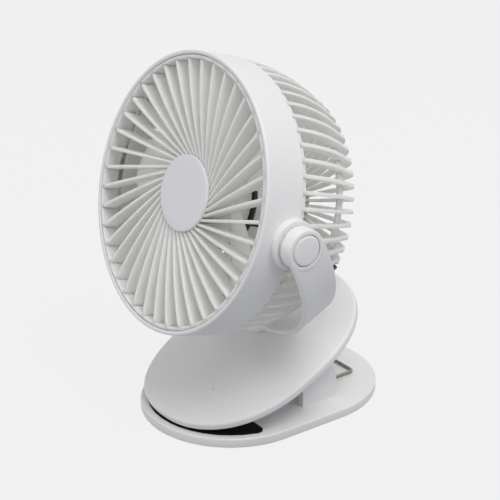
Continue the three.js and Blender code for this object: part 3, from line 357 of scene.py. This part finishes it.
def makeGrille():
    vane = sheetMesh(26, 3, vanePlace)
    group = vane.vertex_groups.new(name="thickness")
    for vertex in vane.data.vertices:
        outward = (hypot(vertex.co.x, vertex.co.z) / mm - 20) / 52
        back = vertex.co.y / mm
        wide = grille["wallInner"] + (grille["wallOuter"] - grille["wallInner"]) * outward
        group.add([vertex.index], wide / 2.0, "REPLACE")
    applyModifier(vane, "SOLIDIFY", thickness=2.0 * mm, offset=0, vertex_group="thickness",
                  use_even_offset=True)
    softenEdges(vane, 0.42, 2, 50)
    vanes = copiesRoundY(vane, [2 * pi * i / grille["vanes"] for i in range(grille["vanes"])])
    outer, inner = grille["ringOuter"], grille["ringOuter"] - grille["ringWall"]
    front, rear = grille["ringFront"], grille["ringDepth"]
    ring = turnedShape([(outer, front + 0.9), (outer - 0.3, front + 0.3), (outer - 0.8, front),
                        (inner + 0.5, front), (inner + 0.15, front + 0.15), (inner, front + 0.5),
                        (inner + 0.1, rear), (outer, rear)], 192)
    hub = turnedShape([(16.8, 6.6), (19.8, 6.6), (19.8, 15.6), (16.8, 15.6)], 96)
    whole = joinPieces([ring, hub, vanes])
    placeMesh(whole, headPlace)
    finishPiece(whole, "frontGrilleMoulding", grilleAbs, "head", "white_grille", "front_grille")


makeGrille()

disc = {"radius": 20.4, "front": 4.4, "rear": 6.3, "round": 0.5, "crown": 0.12}


def makeDisc():
    radius, front, rear, rounding = disc["radius"], disc["front"], disc["rear"], disc["round"]
    profile = [(0, front - disc["crown"]), (radius * 0.5, front - disc["crown"] * 0.8),
               (radius * 0.8, front - disc["crown"] * 0.35)]
    for step in range(6):
        turn = pi / 2 * step / 5
        profile.append((radius - rounding + rounding * sin(turn), front + rounding - rounding * cos(turn)))
    profile += [(radius, rear - 0.2), (radius - 0.2, rear), (16.5, rear), (16.5, rear + 4.5), (0, rear + 4.5)]
    piece = turnedShape(profile, 128, False)
    placeMesh(piece, headPlace)
    finishPiece(piece, "grilleDisc", discAbs, "head", "pale_plastic", "grille_centre_disc")


makeDisc()

cage = {"ribs": 57, "ribWidth": 2.0, "innerShare": 0.55, "ribHeight": 5, "start": 23.3,
        "shoulder": 66, "rear": 72, "taper": 11.5, "inset": 0.5, "corner": 8, "hubRadius": 24,
        "ringOuter": 72.45, "ringWall": 1.8, "hoopDepth": 60, "hoopWidth": 3, "hoopWall": 2.4,
        "plateFront": 69.3, "plateRear": 72.3, "screws": 3, "screwCircle": 13, "sinkRadius": 2.8,
        "sinkDepth": 1.5, "cupInner": 20.3, "cupWall": 2.5, "cupFront": 32.7, "cupRear": 70}


def cageOutline():
    points = []
    for step in range(9):
        share = step / 8
        points.append((75 - cage["inset"] * (1 - share) - cage["taper"] * share * share,
                       cage["start"] + (cage["shoulder"] - cage["start"]) * share))
    corner = cage["corner"]
    centre = 75 - cage["taper"] - corner + 0.6
    for step in range(7):
        turn = radians(26 + 64 * step / 6)
        points.append((centre + corner * cos(turn), cage["rear"] - corner + corner * sin(turn)))
    points += [(centre - 12, cage["rear"] + 0.05), (centre - 24, cage["rear"]),
               (cage["hubRadius"] - 2, cage["rear"])]
    return points


def makeCage():
    outline = cageOutline()
    last = len(outline) - 1

    def ribPlace(along, under):
        i = round(along * last)
        r0, d0 = outline[max(i - 1, 0)]
        r1, d1 = outline[min(i + 1, last)]
        length = hypot(r1 - r0, d1 - d0)
        radius = outline[i][0] - (d1 - d0) / length * cage["ribHeight"] * under
        depth = outline[i][1] + (r1 - r0) / length * cage["ribHeight"] * under
        return (radius, max(depth, cage["start"]), 0)

    rib = sheetMesh(last + 1, 2, ribPlace)
    group = rib.vertex_groups.new(name="thickness")
    for vertex in rib.data.vertices:
        group.add([vertex.index], 1 if vertex.index <= last else cage["innerShare"], "REPLACE")
    applyModifier(rib, "SOLIDIFY", thickness=cage["ribWidth"] * mm, offset=0, vertex_group="thickness")
    softenEdges(rib, 0.5, 3, 50)
    angles = [pi / 2 + 2 * pi * (i + 0.5) / cage["ribs"] for i in range(cage["ribs"])]
    ribs = copiesRoundY(rib, angles)
    outer, inner = cage["ringOuter"], cage["ringOuter"] - cage["ringWall"]
    ring = turnedShape([(inner, 13), (outer, 13), (outer, cage["start"]), (73.6, cage["start"] + 0.1),
                        (73.6, 25.6), (73.2, 26), (inner, 26)], 171)
    share = (cage["hoopDepth"] - cage["start"]) / (cage["shoulder"] - cage["start"])
    hoopOuter = 75 - cage["taper"] * share * share - cage["ribHeight"] + 0.6
    hoopInner = hoopOuter - cage["hoopWall"]
    low, high = cage["hoopDepth"] - cage["hoopWidth"] / 2, cage["hoopDepth"] + cage["hoopWidth"] / 2
    hoop = turnedShape([(hoopInner, low), (hoopOuter, low), (hoopOuter, high), (hoopInner, high)], 171)
    softenEdges(hoop, 0.4, 2)
    front, rear, radius = cage["plateFront"], cage["plateRear"], cage["hubRadius"]
    plate = turnedShape([(0, front), (radius, front), (radius, rear), (0, rear)], 114, False)
    softenEdges(plate, 0.6, 3)
    floor, wide, around = rear - cage["sinkDepth"], cage["sinkRadius"], cage["screwCircle"] * mm
    for step in range(cage["screws"]):
        turn = pi / 2 + 2 * pi * step / cage["screws"]
        sink = turnedShape([(0, floor), (wide, floor), (wide, rear + 1.7), (0, rear + 1.7)], 32, False)
        placeMesh(sink, Matrix.Translation((around * cos(turn), 0, around * sin(turn))))
        cutWith(plate, sink)
    # the cup hides the motor's rear behind the ribs
    low, high, narrow = cage["cupFront"], cage["cupRear"], cage["cupInner"]
    wide = narrow + cage["cupWall"]
    cup = turnedShape([(narrow, low), (wide, low), (wide, high), (narrow, high)], 96)
    softenEdges(cup, 0.4, 2, 60)
    whole = joinPieces([ring, hoop, plate, cup, ribs])
    placeMesh(whole, headPlace)
    finishPiece(whole, "rearCageMoulding", grilleAbs, "head", "white_grille", "rear_cage")


makeCage()

rotor = {"blades": 5, "start": -19, "lean": 27, "hubRadius": 27, "hubFront": 17, "hubRear": 29.4,
         "tipRadius": 64, "wall": 1.6, "rootPitch": 26, "tipPitch": 16, "chordRoot": 30,
         "chordTip": 48, "camber": 0.05, "tipTrim": 0.22, "hubWall": 2.5, "bore": 1.8}


def bladePlace(outward, along):
    middle = (rotor["hubFront"] + rotor["hubRear"]) / 2
    root = rotor["hubRadius"] - 1.5
    radius = root + (rotor["tipRadius"] - root) * outward
    pitch = radians(rotor["rootPitch"] + (rotor["tipPitch"] - rotor["rootPitch"]) * outward)
    # the corners of the tip are rounded off
    trim = 1 - rotor["tipTrim"] * max(0, outward - 0.7) ** 2 / 0.09
    chord = (rotor["chordRoot"] + (rotor["chordTip"] - rotor["chordRoot"]) * outward) * trim
    place = along - 0.5
    camber = rotor["camber"] * chord * (1 - (2 * place) ** 2)
    across = chord * place * cos(pitch) + camber * sin(pitch)
    depth = middle + chord * place * sin(pitch) - camber * cos(pitch)
    angle = radians(rotor["start"] - rotor["lean"] * outward) - across / radius
    return (radius * cos(angle), depth, radius * sin(angle))


def makeRotor():
    blade = sheetMesh(16, 14, bladePlace)
    applyModifier(blade, "SOLIDIFY", thickness=rotor["wall"] * mm, offset=0)
    softenEdges(blade, 0.5, 2, 50)
    blades = copiesRoundY(blade, [2 * pi * i / rotor["blades"] for i in range(rotor["blades"])])
    front, rear, radius = rotor["hubFront"], rotor["hubRear"], rotor["hubRadius"]
    wall, bore = rotor["hubWall"], rotor["bore"]
    hub = turnedShape([(bore, front), (radius - 5, front), (radius - 2.6, front + 0.5),
                       (radius - 1.0, front + 1.9), (radius, front + 4.5), (radius, rear),
                       (radius - wall, rear), (radius - wall, front + wall), (bore, front + wall)], 96)
    whole = joinPieces([hub, blades])
    placeMesh(whole, headPlace)
    finishPiece(whole, "impellerMoulding", insideAbs, "rotor", "white_inside", "impeller")
    nut = turnedShape([(0, 13.1), (3.2, 13.1), (4.2, 14.1), (4.2, 16.7), (0, 16.7)], 48, False)
    placeMesh(nut, headPlace)
    finishPiece(nut, "rotorNut", insideAbs, "rotor", "white_inside", "impeller_nut")


makeRotor()


def makeMotor():
    can = turnedShape([(0, 21), (19, 21), (20, 22), (20, 30), (28, 30), (28.5, 30.5), (28.5, 31.9),
                       (28, 32.4), (20, 32.4), (20, 69), (0, 69)], 96, False)
    placeMesh(can, headPlace)
    finishPiece(can, "motorCan", motorAbs, "head", "black_plastic", "motor")


makeMotor()

fork = {"armOuter": 87.488, "pivotHeight": 95.5, "drop": 83.4, "wall": 3.0, "armRadius": 10.8,
        "footFront": 8.9, "footRear": 14.2, "armInner": 79.8, "neckRadius": 9, "capRadius": 8.0,
        "capProud": 0.4, "capThickness": 2.6}


def strapPlace(across, along):
    # the U goes round evenly, and its arms end a little above the pivot's middle
    turn = pi * along
    drop, side = sin(turn), cos(turn)
    front = -(fork["armRadius"] + (fork["footFront"] - fork["armRadius"]) * drop)
    rear = fork["armRadius"] + (fork["footRear"] - fork["armRadius"]) * drop
    height = fork["pivotHeight"] - fork["drop"] * drop
    return (fork["armOuter"] * side, front + (rear - front) * across, height)


def normalLeansIn(piece):
    lowest = min(piece.data.polygons, key=lambda face: face.center.z)
    return lowest.normal.z > 0


def makeFork():
    strap = sheetMesh(5, 121, strapPlace)
    mendNormals(strap)
    applyModifier(strap, "SOLIDIFY", thickness=fork["wall"] * mm, offset=1 if normalLeansIn(strap) else -1)
    softenEdges(strap, 0.7, 3, 50)
    pocket = fork["capRadius"] + 0.3
    atPivot = Matrix.Translation((0, 0, fork["pivotHeight"] * mm))
    for low, high in ((80, 90), (-90, -80)):
        cutWith(strap, placeMesh(barX(pocket, low, high, 96), atPivot))
    parts = [strap]
    outer, inner = fork["armOuter"], fork["armInner"]
    seat = outer + fork["capProud"] - fork["capThickness"] - 0.3
    for side in (1, -1):
        boss = turnedShape([(4.3, inner), (fork["armRadius"] - 0.5, inner), (fork["armRadius"], inner + 0.5),
                            (fork["armRadius"], outer - 0.9), (fork["armRadius"] - 0.3, outer - 0.3),
                            (fork["armRadius"] - 0.9, outer), (pocket + 0.3, outer), (pocket, outer - 0.3),
                            (pocket, seat), (4.3, seat)], 96)
        turn = Matrix.Rotation(-pi / 2 * side, 4, "Z")
        parts.append(placeMesh(boss, atPivot @ turn))
    neck = turnedShape([(3, 5.8), (fork["neckRadius"] + 0.6, 5.8), (fork["neckRadius"], 7),
                        (fork["neckRadius"], 13.6), (3, 13.6)], 96)
    parts.append(placeMesh(neck, Matrix.Rotation(pi / 2, 4, "X")))
    spigot = turnedShape([(1.6, 2.8), (6, 2.8), (6, 8), (1.6, 8)], 48)
    parts.append(placeMesh(spigot, Matrix.Rotation(pi / 2, 4, "X")))
    whole = joinPieces(parts)
    placeMesh(whole, forkPlace)
    finishPiece(whole, "forkMoulding", shellAbs, "fork", "white_shell", "yoke")
    for side, name in ((1, "right"), (-1, "left")):
        radius, face = fork["capRadius"], outer + fork["capProud"]
        cap = turnedShape([(0, face), (radius - 1.4, face - 0.02), (radius - 0.5, face - 0.2),
                           (radius - 0.1, face - 0.6), (radius, face - 1.1),
                           (radius, face - fork["capThickness"]), (0, face - fork["capThickness"])],
                          96, False)
        placeMesh(cap, forkPlace @ atPivot @ Matrix.Rotation(-pi / 2 * side, 4, "Z"))
        finishPiece(cap, "pivotCap." + name, shellAbs, "fork", "white_shell", "pivot_cap_" + name)


makeFork()

jaw = {"halfWidth": 53.3, "front": 63.3, "rear": 67, "frontPower": 2.24, "rearPower": 2.6,
       "arch": 223, "rim": 4.2, "round": 1.5, "crown": 1.3, "wall": 2.0, "steps": 160}


def jawPoint(turn, inset, share):
    power = 2 / (jaw["frontPower"] if sin(turn) < 0 else jaw["rearPower"])
    length = (jaw["front"] if sin(turn) < 0 else jaw["rear"]) - inset
    x = abs(cos(turn)) ** power * (1 if cos(turn) >= 0 else -1) * (jaw["halfWidth"] - inset) * share
    y = abs(sin(turn)) ** power * (1 if sin(turn) >= 0 else -1) * length * share
    return x, y


# rows of (inset, share, height), from the middle of the underside round the rim to the top's middle
def jawShell(rows):
    clearSelection()
    bpy.ops.mesh.primitive_grid_add(x_subdivisions=jaw["steps"] + 1, y_subdivisions=len(rows), size=2)
    piece = bpy.context.object
    for vertex in piece.data.vertices:
        turn = (vertex.co.x + 1) * pi
        inset, share, height = rows[round((vertex.co.y + 1) / 2 * (len(rows) - 1))]
        x, y = jawPoint(turn, inset, share)
        vertex.co = Vector((x, y, height - x * x / (2 * jaw["arch"]))) * mm
    mendNormals(piece)
    return piece


def makeCover():
    rim, rounding, crown, wall = jaw["rim"], jaw["round"], jaw["crown"], jaw["wall"]
    shares = [0.97, 0.92, 0.84, 0.74, 0.62, 0.5, 0.38, 0.26, 0.14, 0]
    rows = [(wall, share, rim - wall + crown * (1 - share * share)) for share in reversed(shares)]
    rows += [(wall, 1, rim - wall), (wall, 1, 0.3), (wall - 0.3, 1, 0), (0.4, 1, 0), (0.1, 1, 0.15)]
    rows += [(0, 1, 0.5)]
    rows += [(0, 1, rim - rounding)]
    for step in range(1, 7):
        turn = pi / 2 * step / 6
        rows.append((rounding - rounding * cos(turn), 1, rim - rounding + rounding * sin(turn)))
    rows += [(rounding, share, rim + crown * (1 - share * share)) for share in shares]
    cover = jawShell(rows)
    swivel = turnedShape([(0, -1), (6.3, -1), (6.3, 9), (0, 9)], 48, False)
    placeMesh(swivel, Matrix.Translation((0, 16 * mm, 0)) @ Matrix.Rotation(pi / 2, 4, "X"))
    cutWith(cover, swivel)
    placeMesh(cover, jawPlace)
    finishPiece(cover, "upperJawShell", shellAbs, "upper_clamp", "white_shell", "upper_jaw_cover")


makeCover()

led = {"across": 16.1, "along": -35.4, "radius": 0.7}


def makeLed():
    clearSelection()
    bpy.ops.mesh.primitive_uv_sphere_add(segments=24, ring_count=12, radius=led["radius"] * mm)
    lens = bpy.context.object
    share = hypot(led["across"] / jaw["halfWidth"], led["along"] / jaw["front"])
    height = jaw["rim"] + jaw["crown"] * (1 - share * share) - led["across"] ** 2 / (2 * jaw["arch"])
    lens.scale = (1, 1, 0.25)
    placeMesh(lens, jawPlace @ Matrix.Translation((led["across"] * mm, led["along"] * mm, height * mm)))
    finishPiece(lens, "indicatorLens", ledLensMaterial, "upper_clamp", "lens", "led_lens")


makeLed()

shoe = {"halfWidth": 51.8, "halfLength": 72, "thickness": 5.6, "round": 1.0, "cheekInner": 33.7,
        "cheekOuter": 37.3, "hingeBack": 14, "hingeHeight": 19.5, "cheekRadius": 11.4, "flare": 1}


def makeShoe():
    clearSelection()
    thickness, radius = shoe["thickness"] * mm, shoe["halfWidth"] * mm
    bpy.ops.mesh.primitive_cylinder_add(vertices=192, radius=radius, depth=thickness,
                                        location=(0, 0, thickness / 2), rotation=(0, 0, pi / 192))
    plate = bpy.context.object
    bpy.ops.object.transform_apply(location=True, rotation=True, scale=True)
    straight = (shoe["halfLength"] - shoe["halfWidth"]) * mm
    for vertex in plate.data.vertices:
        vertex.co.y += straight if vertex.co.y > 0 else -straight
    softenEdges(plate, shoe["round"], 4, 60)
    cheeks = []
    for side in (1, -1):
        low, high = sorted((side * shoe["cheekInner"], side * shoe["cheekOuter"]))
        cheek = barX(shoe["cheekRadius"], low, high, 96)
        placeMesh(cheek, Matrix.Translation((0, shoe["hingeBack"] * mm, shoe["hingeHeight"] * mm)))
        for vertex in cheek.data.vertices:
            if vertex.co.z < shoe["hingeHeight"] * mm:
                ahead = 1 if vertex.co.y > shoe["hingeBack"] * mm else -1
                reach = shoe["cheekRadius"] + (shoe["flare"] if ahead > 0 else 0)
                depth = abs(vertex.co.y / mm - shoe["hingeBack"]) / shoe["cheekRadius"]
                drop = sqrt(max(0, 1 - depth * depth))
                # the lower half of the disc is opened out into a square foot
                vertex.co.y = (shoe["hingeBack"] + ahead * reach * min(1, depth + drop * 1.2)) * mm
                vertex.co.z = 4 * mm if drop > 0.25 else vertex.co.z
        selectOnly(cheek)
        bpy.ops.object.mode_set(mode="EDIT")
        bpy.ops.mesh.select_all(action="SELECT")
        bpy.ops.mesh.convex_hull()
        bpy.ops.object.mode_set(mode="OBJECT")
        softenEdges(cheek, 0.5, 3, 50)
        cheeks.append(cheek)
    whole = joinPieces([plate] + cheeks)
    finishPiece(whole, "lowerJawShell", shellAbs, "lower_clamp", "white_shell", "lower_jaw")


makeShoe()

grip = {"margin": 3.9, "back": -30, "thickness": 0.9, "corner": 4.8}


def makeGrip():
    clearSelection()
    radius = shoe["halfWidth"] - grip["margin"]
    centre = -(shoe["halfLength"] - shoe["halfWidth"])
    base, top = shoe["thickness"], shoe["thickness"] + grip["thickness"]
    # sides long enough for the corners' rounding
    bpy.ops.mesh.primitive_cylinder_add(vertices=40, radius=radius * mm, depth=grip["thickness"] * mm,
                                        location=(0, centre * mm, (base + top) / 2 * mm))
    sheet = bpy.context.object
    bpy.ops.object.transform_apply(location=True, rotation=True, scale=True)
    bpy.ops.object.mode_set(mode="EDIT")
    bpy.ops.mesh.select_all(action="SELECT")
    bpy.ops.mesh.bisect(plane_co=(0, grip["back"] * mm, 0), plane_no=(0, 1, 0),
                        use_fill=True, clear_outer=True)
    bpy.ops.object.mode_set(mode="OBJECT")
    backVertices = [v for v in sheet.data.vertices if abs(v.co.y / mm - grip["back"]) < 0.01]
    widest = max(abs(v.co.x) for v in backVertices)
    corners = {v.index for v in backVertices if abs(v.co.x) > widest - 0.00001}
    bpy.context.tool_settings.mesh_select_mode = (False, True, False)
    for part in (*sheet.data.polygons, *sheet.data.edges, *sheet.data.vertices):
        part.select = False
    for edge in sheet.data.edges:
        a, b = (sheet.data.vertices[index] for index in edge.vertices)
        if {a.index, b.index} <= corners and abs(a.co.x - b.co.x) < 0.00001:
            edge.select = a.select = b.select = True
    bpy.ops.object.mode_set(mode="EDIT")
    bpy.ops.mesh.bevel(offset=grip["corner"] * mm, segments=8, affect="EDGES")
    bpy.ops.object.mode_set(mode="OBJECT")
    softenEdges(sheet, 0.25, 2, 60)
    finishPiece(sheet, "gripSheet", gripRubber, "lower_clamp", "black_rubber", "jaw_grip_pad")


makeGrip()

spring = {"wire": 0.9, "coilRadius": 5.5, "turns": 4.32, "pitch": 2.43, "halfWidth": 21, "bridgeBack": 53,
          "legBend": 36, "bend": 2.6, "freeReach": 44, "trayDepth": 5.6, "curlSteps": 32}


def springSide(side):
    hinge = (shoe["hingeBack"], shoe["hingeHeight"])
    onShoe = shoe["thickness"] + spring["wire"] + 0.3
    below = spring["trayDepth"] + spring["wire"] + 0.3
    free = jawPlace @ Vector((0, spring["freeReach"] * mm, -below * mm))
    freeY, freeZ = free.y / mm, free.z / mm

    def tangent(y, z):
        away = hypot(y - hinge[0], z - hinge[1])
        return atan2(z - hinge[1], y - hinge[0]), acos(spring["coilRadius"] / away)

    toFree, freeTurn = tangent(freeY, freeZ)
    toBend, bendTurn = tangent(spring["legBend"], onShoe)
    start, settled = toFree + freeTurn, toBend - bendTurn
    whole = round(spring["turns"] - (settled - start) / (2 * pi))
    turns = (settled - start) / (2 * pi) + whole
    steps = round(turns * spring["curlSteps"])
    points = []
    for i in range(steps + 1):
        angle = start + 2 * pi * turns * i / steps
        points.append((side * (spring["halfWidth"] - spring["pitch"] * turns * (1 - i / steps)),
                       hinge[0] + spring["coilRadius"] * cos(angle),
                       hinge[1] + spring["coilRadius"] * sin(angle)))
    points.insert(0, (points[0][0], freeY, freeZ))
    x, bend = side * spring["halfWidth"], spring["bend"]
    legBend, back = spring["legBend"], spring["bridgeBack"]
    points += [(x, legBend - bend, onShoe + bend * 0.25), (x, legBend - bend * 0.4, onShoe + 0.12),
               (x, legBend + bend * 0.4, onShoe), (x, back - bend, onShoe)]
    for step in range(1, 6):
        turn = pi / 2 * step / 6
        points.append((x - side * bend * (1 - cos(turn)), back - bend + bend * sin(turn), onShoe))
    points.append((x - side * bend, back, onShoe))
    return points


def wireCurve(name, points, radius):
    curve = bpy.data.curves.new(name, "CURVE")
    curve.dimensions = "3D"
    curve.bevel_depth = radius * mm
    curve.bevel_resolution = 3
    curve.use_fill_caps = True
    spline = curve.splines.new("POLY")
    spline.points.add(len(points) - 1)
    for point, place in zip(spline.points, points):
        point.co = (*(Vector(place) * mm), 1)
    piece = bpy.data.objects.new(name, curve)
    bpy.context.scene.collection.objects.link(piece)
    selectOnly(piece)
    bpy.ops.object.convert(target="MESH")
    mendNormals(piece)
    return piece


def makeSpring():
    points = springSide(-1) + springSide(1)[::-1]
    piece = wireCurve("springWire", points, spring["wire"])
    finishPiece(piece, "springWire", springSteel, "lower_clamp", "spring_steel", "clamp_spring", smooth=60)


makeSpring()

keptNodes = {
    "hinge_pin": platedSteel, "upper_jaw_tray": shellAbs, "battery_cell": cellFilm,
    "control_board": boardResin, "usb_port": platedSteel, "power_button": discAbs,
    "swivel_retainer": paleNylon, "swivel_screw": platedSteel, "motor_screw_1": platedSteel,
    "motor_screw_2": platedSteel, "motor_screw_3": platedSteel, "motor_lead": motorAbs,
    "motor_shaft": platedSteel, "pivot_pin_left": platedSteel, "pivot_pin_right": platedSteel,
    "pivot_washer_left": paleNylon, "pivot_washer_right": paleNylon,
}
for nodeName, material in keptNodes.items():
    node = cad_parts[nodeName]
    node.data.materials.clear()
    node.data.materials.append(material)
print("kept nodes dressed")

studio = {"background": "f1f1f1", "bounce": "a9abb0", "floorShadow": 0.1, "glow": 1.07, "sky": 0.46,
          "key": {"place": (0.7, 0.0, 1.4), "size": 1.1, "power": 12.4},
          "front": {"place": (-0.4, -1.7, 0.5), "size": 1.2, "power": 5.5}}


def areaLamp(name, place, size, power):
    lampData = bpy.data.lights.new(name, "AREA")
    lampData.shape = "DISK"
    lampData.size = size
    lampData.energy = power
    lamp = bpy.data.objects.new(name, lampData)
    bpy.context.scene.collection.objects.link(lamp)
    aim = Vector((0, -0.02, 0.1)) - Vector(place)
    lamp.matrix_world = Matrix.Translation(place) @ aim.to_track_quat("-Z", "Y").to_matrix().to_4x4()


# rays that show the backdrop: from the camera, mirrored or seen through something clear
def showingRays(tree):
    rays = addNode(tree, "ShaderNodeLightPath").outputs
    bent = addNode(tree, "ShaderNodeMath", {"operation": "MAXIMUM"},
                   {0: rays["Is Glossy Ray"], 1: rays["Is Transmission Ray"]})
    return addNode(tree, "ShaderNodeMath", {"operation": "MAXIMUM"},
                   {0: rays["Is Camera Ray"], 1: bent.outputs[0]}).outputs[0]


# paper that shows its own pale colour with a trace of the shadow, and throws a cooler light back
def paleFloor():
    material = bpy.data.materials.new("paleBackdropPaper")
    material.use_nodes = True
    tree = material.node_tree
    tree.nodes.clear()
    paper = addNode(tree, "ShaderNodeBsdfDiffuse", {"Color": linearColour(studio["bounce"])})
    glow = addNode(tree, "ShaderNodeEmission",
                   {"Color": linearColour(studio["background"]), "Strength": studio["glow"]})
    share = addNode(tree, "ShaderNodeMath", {"operation": "MULTIPLY", 1: 1 - studio["floorShadow"]},
                    {0: showingRays(tree)})
    mix = addNode(tree, "ShaderNodeMixShader", (),
                  {0: share.outputs[0], 1: paper.outputs[0], 2: glow.outputs[0]})
    addNode(tree, "ShaderNodeOutputMaterial", (), {"Surface": mix.outputs[0]})
    return material


def makeStudio():
    clearSelection()
    bpy.ops.mesh.primitive_plane_add(size=12, location=(0, 0, -0.0003))
    floor = bpy.context.object
    floor.name = "studioFloor"
    bpy.ops.object.transform_apply(location=True)
    floor.data.materials.append(paleFloor())
    for name in ("key", "front"):
        lamp = studio[name]
        areaLamp(name + "Lamp", lamp["place"], lamp["size"], lamp["power"])
    world = bpy.data.worlds.new("studioWorld")
    bpy.context.scene.world = world
    world.use_nodes = True
    tree = world.node_tree
    tree.nodes.clear()
    sky = addNode(tree, "ShaderNodeBackground", {"Color": linearColour("f5f6f7"), "Strength": studio["sky"]})
    seen = addNode(tree, "ShaderNodeBackground",
                   {"Color": linearColour(studio["background"]), "Strength": 1.0})
    mix = addNode(tree, "ShaderNodeMixShader", (),
                  {0: showingRays(tree), 1: sky.outputs[0], 2: seen.outputs[0]})
    addNode(tree, "ShaderNodeOutputWorld", (), {"Surface": mix.outputs[0]})
    bpy.context.scene.view_settings.view_transform = "Standard"


makeStudio()
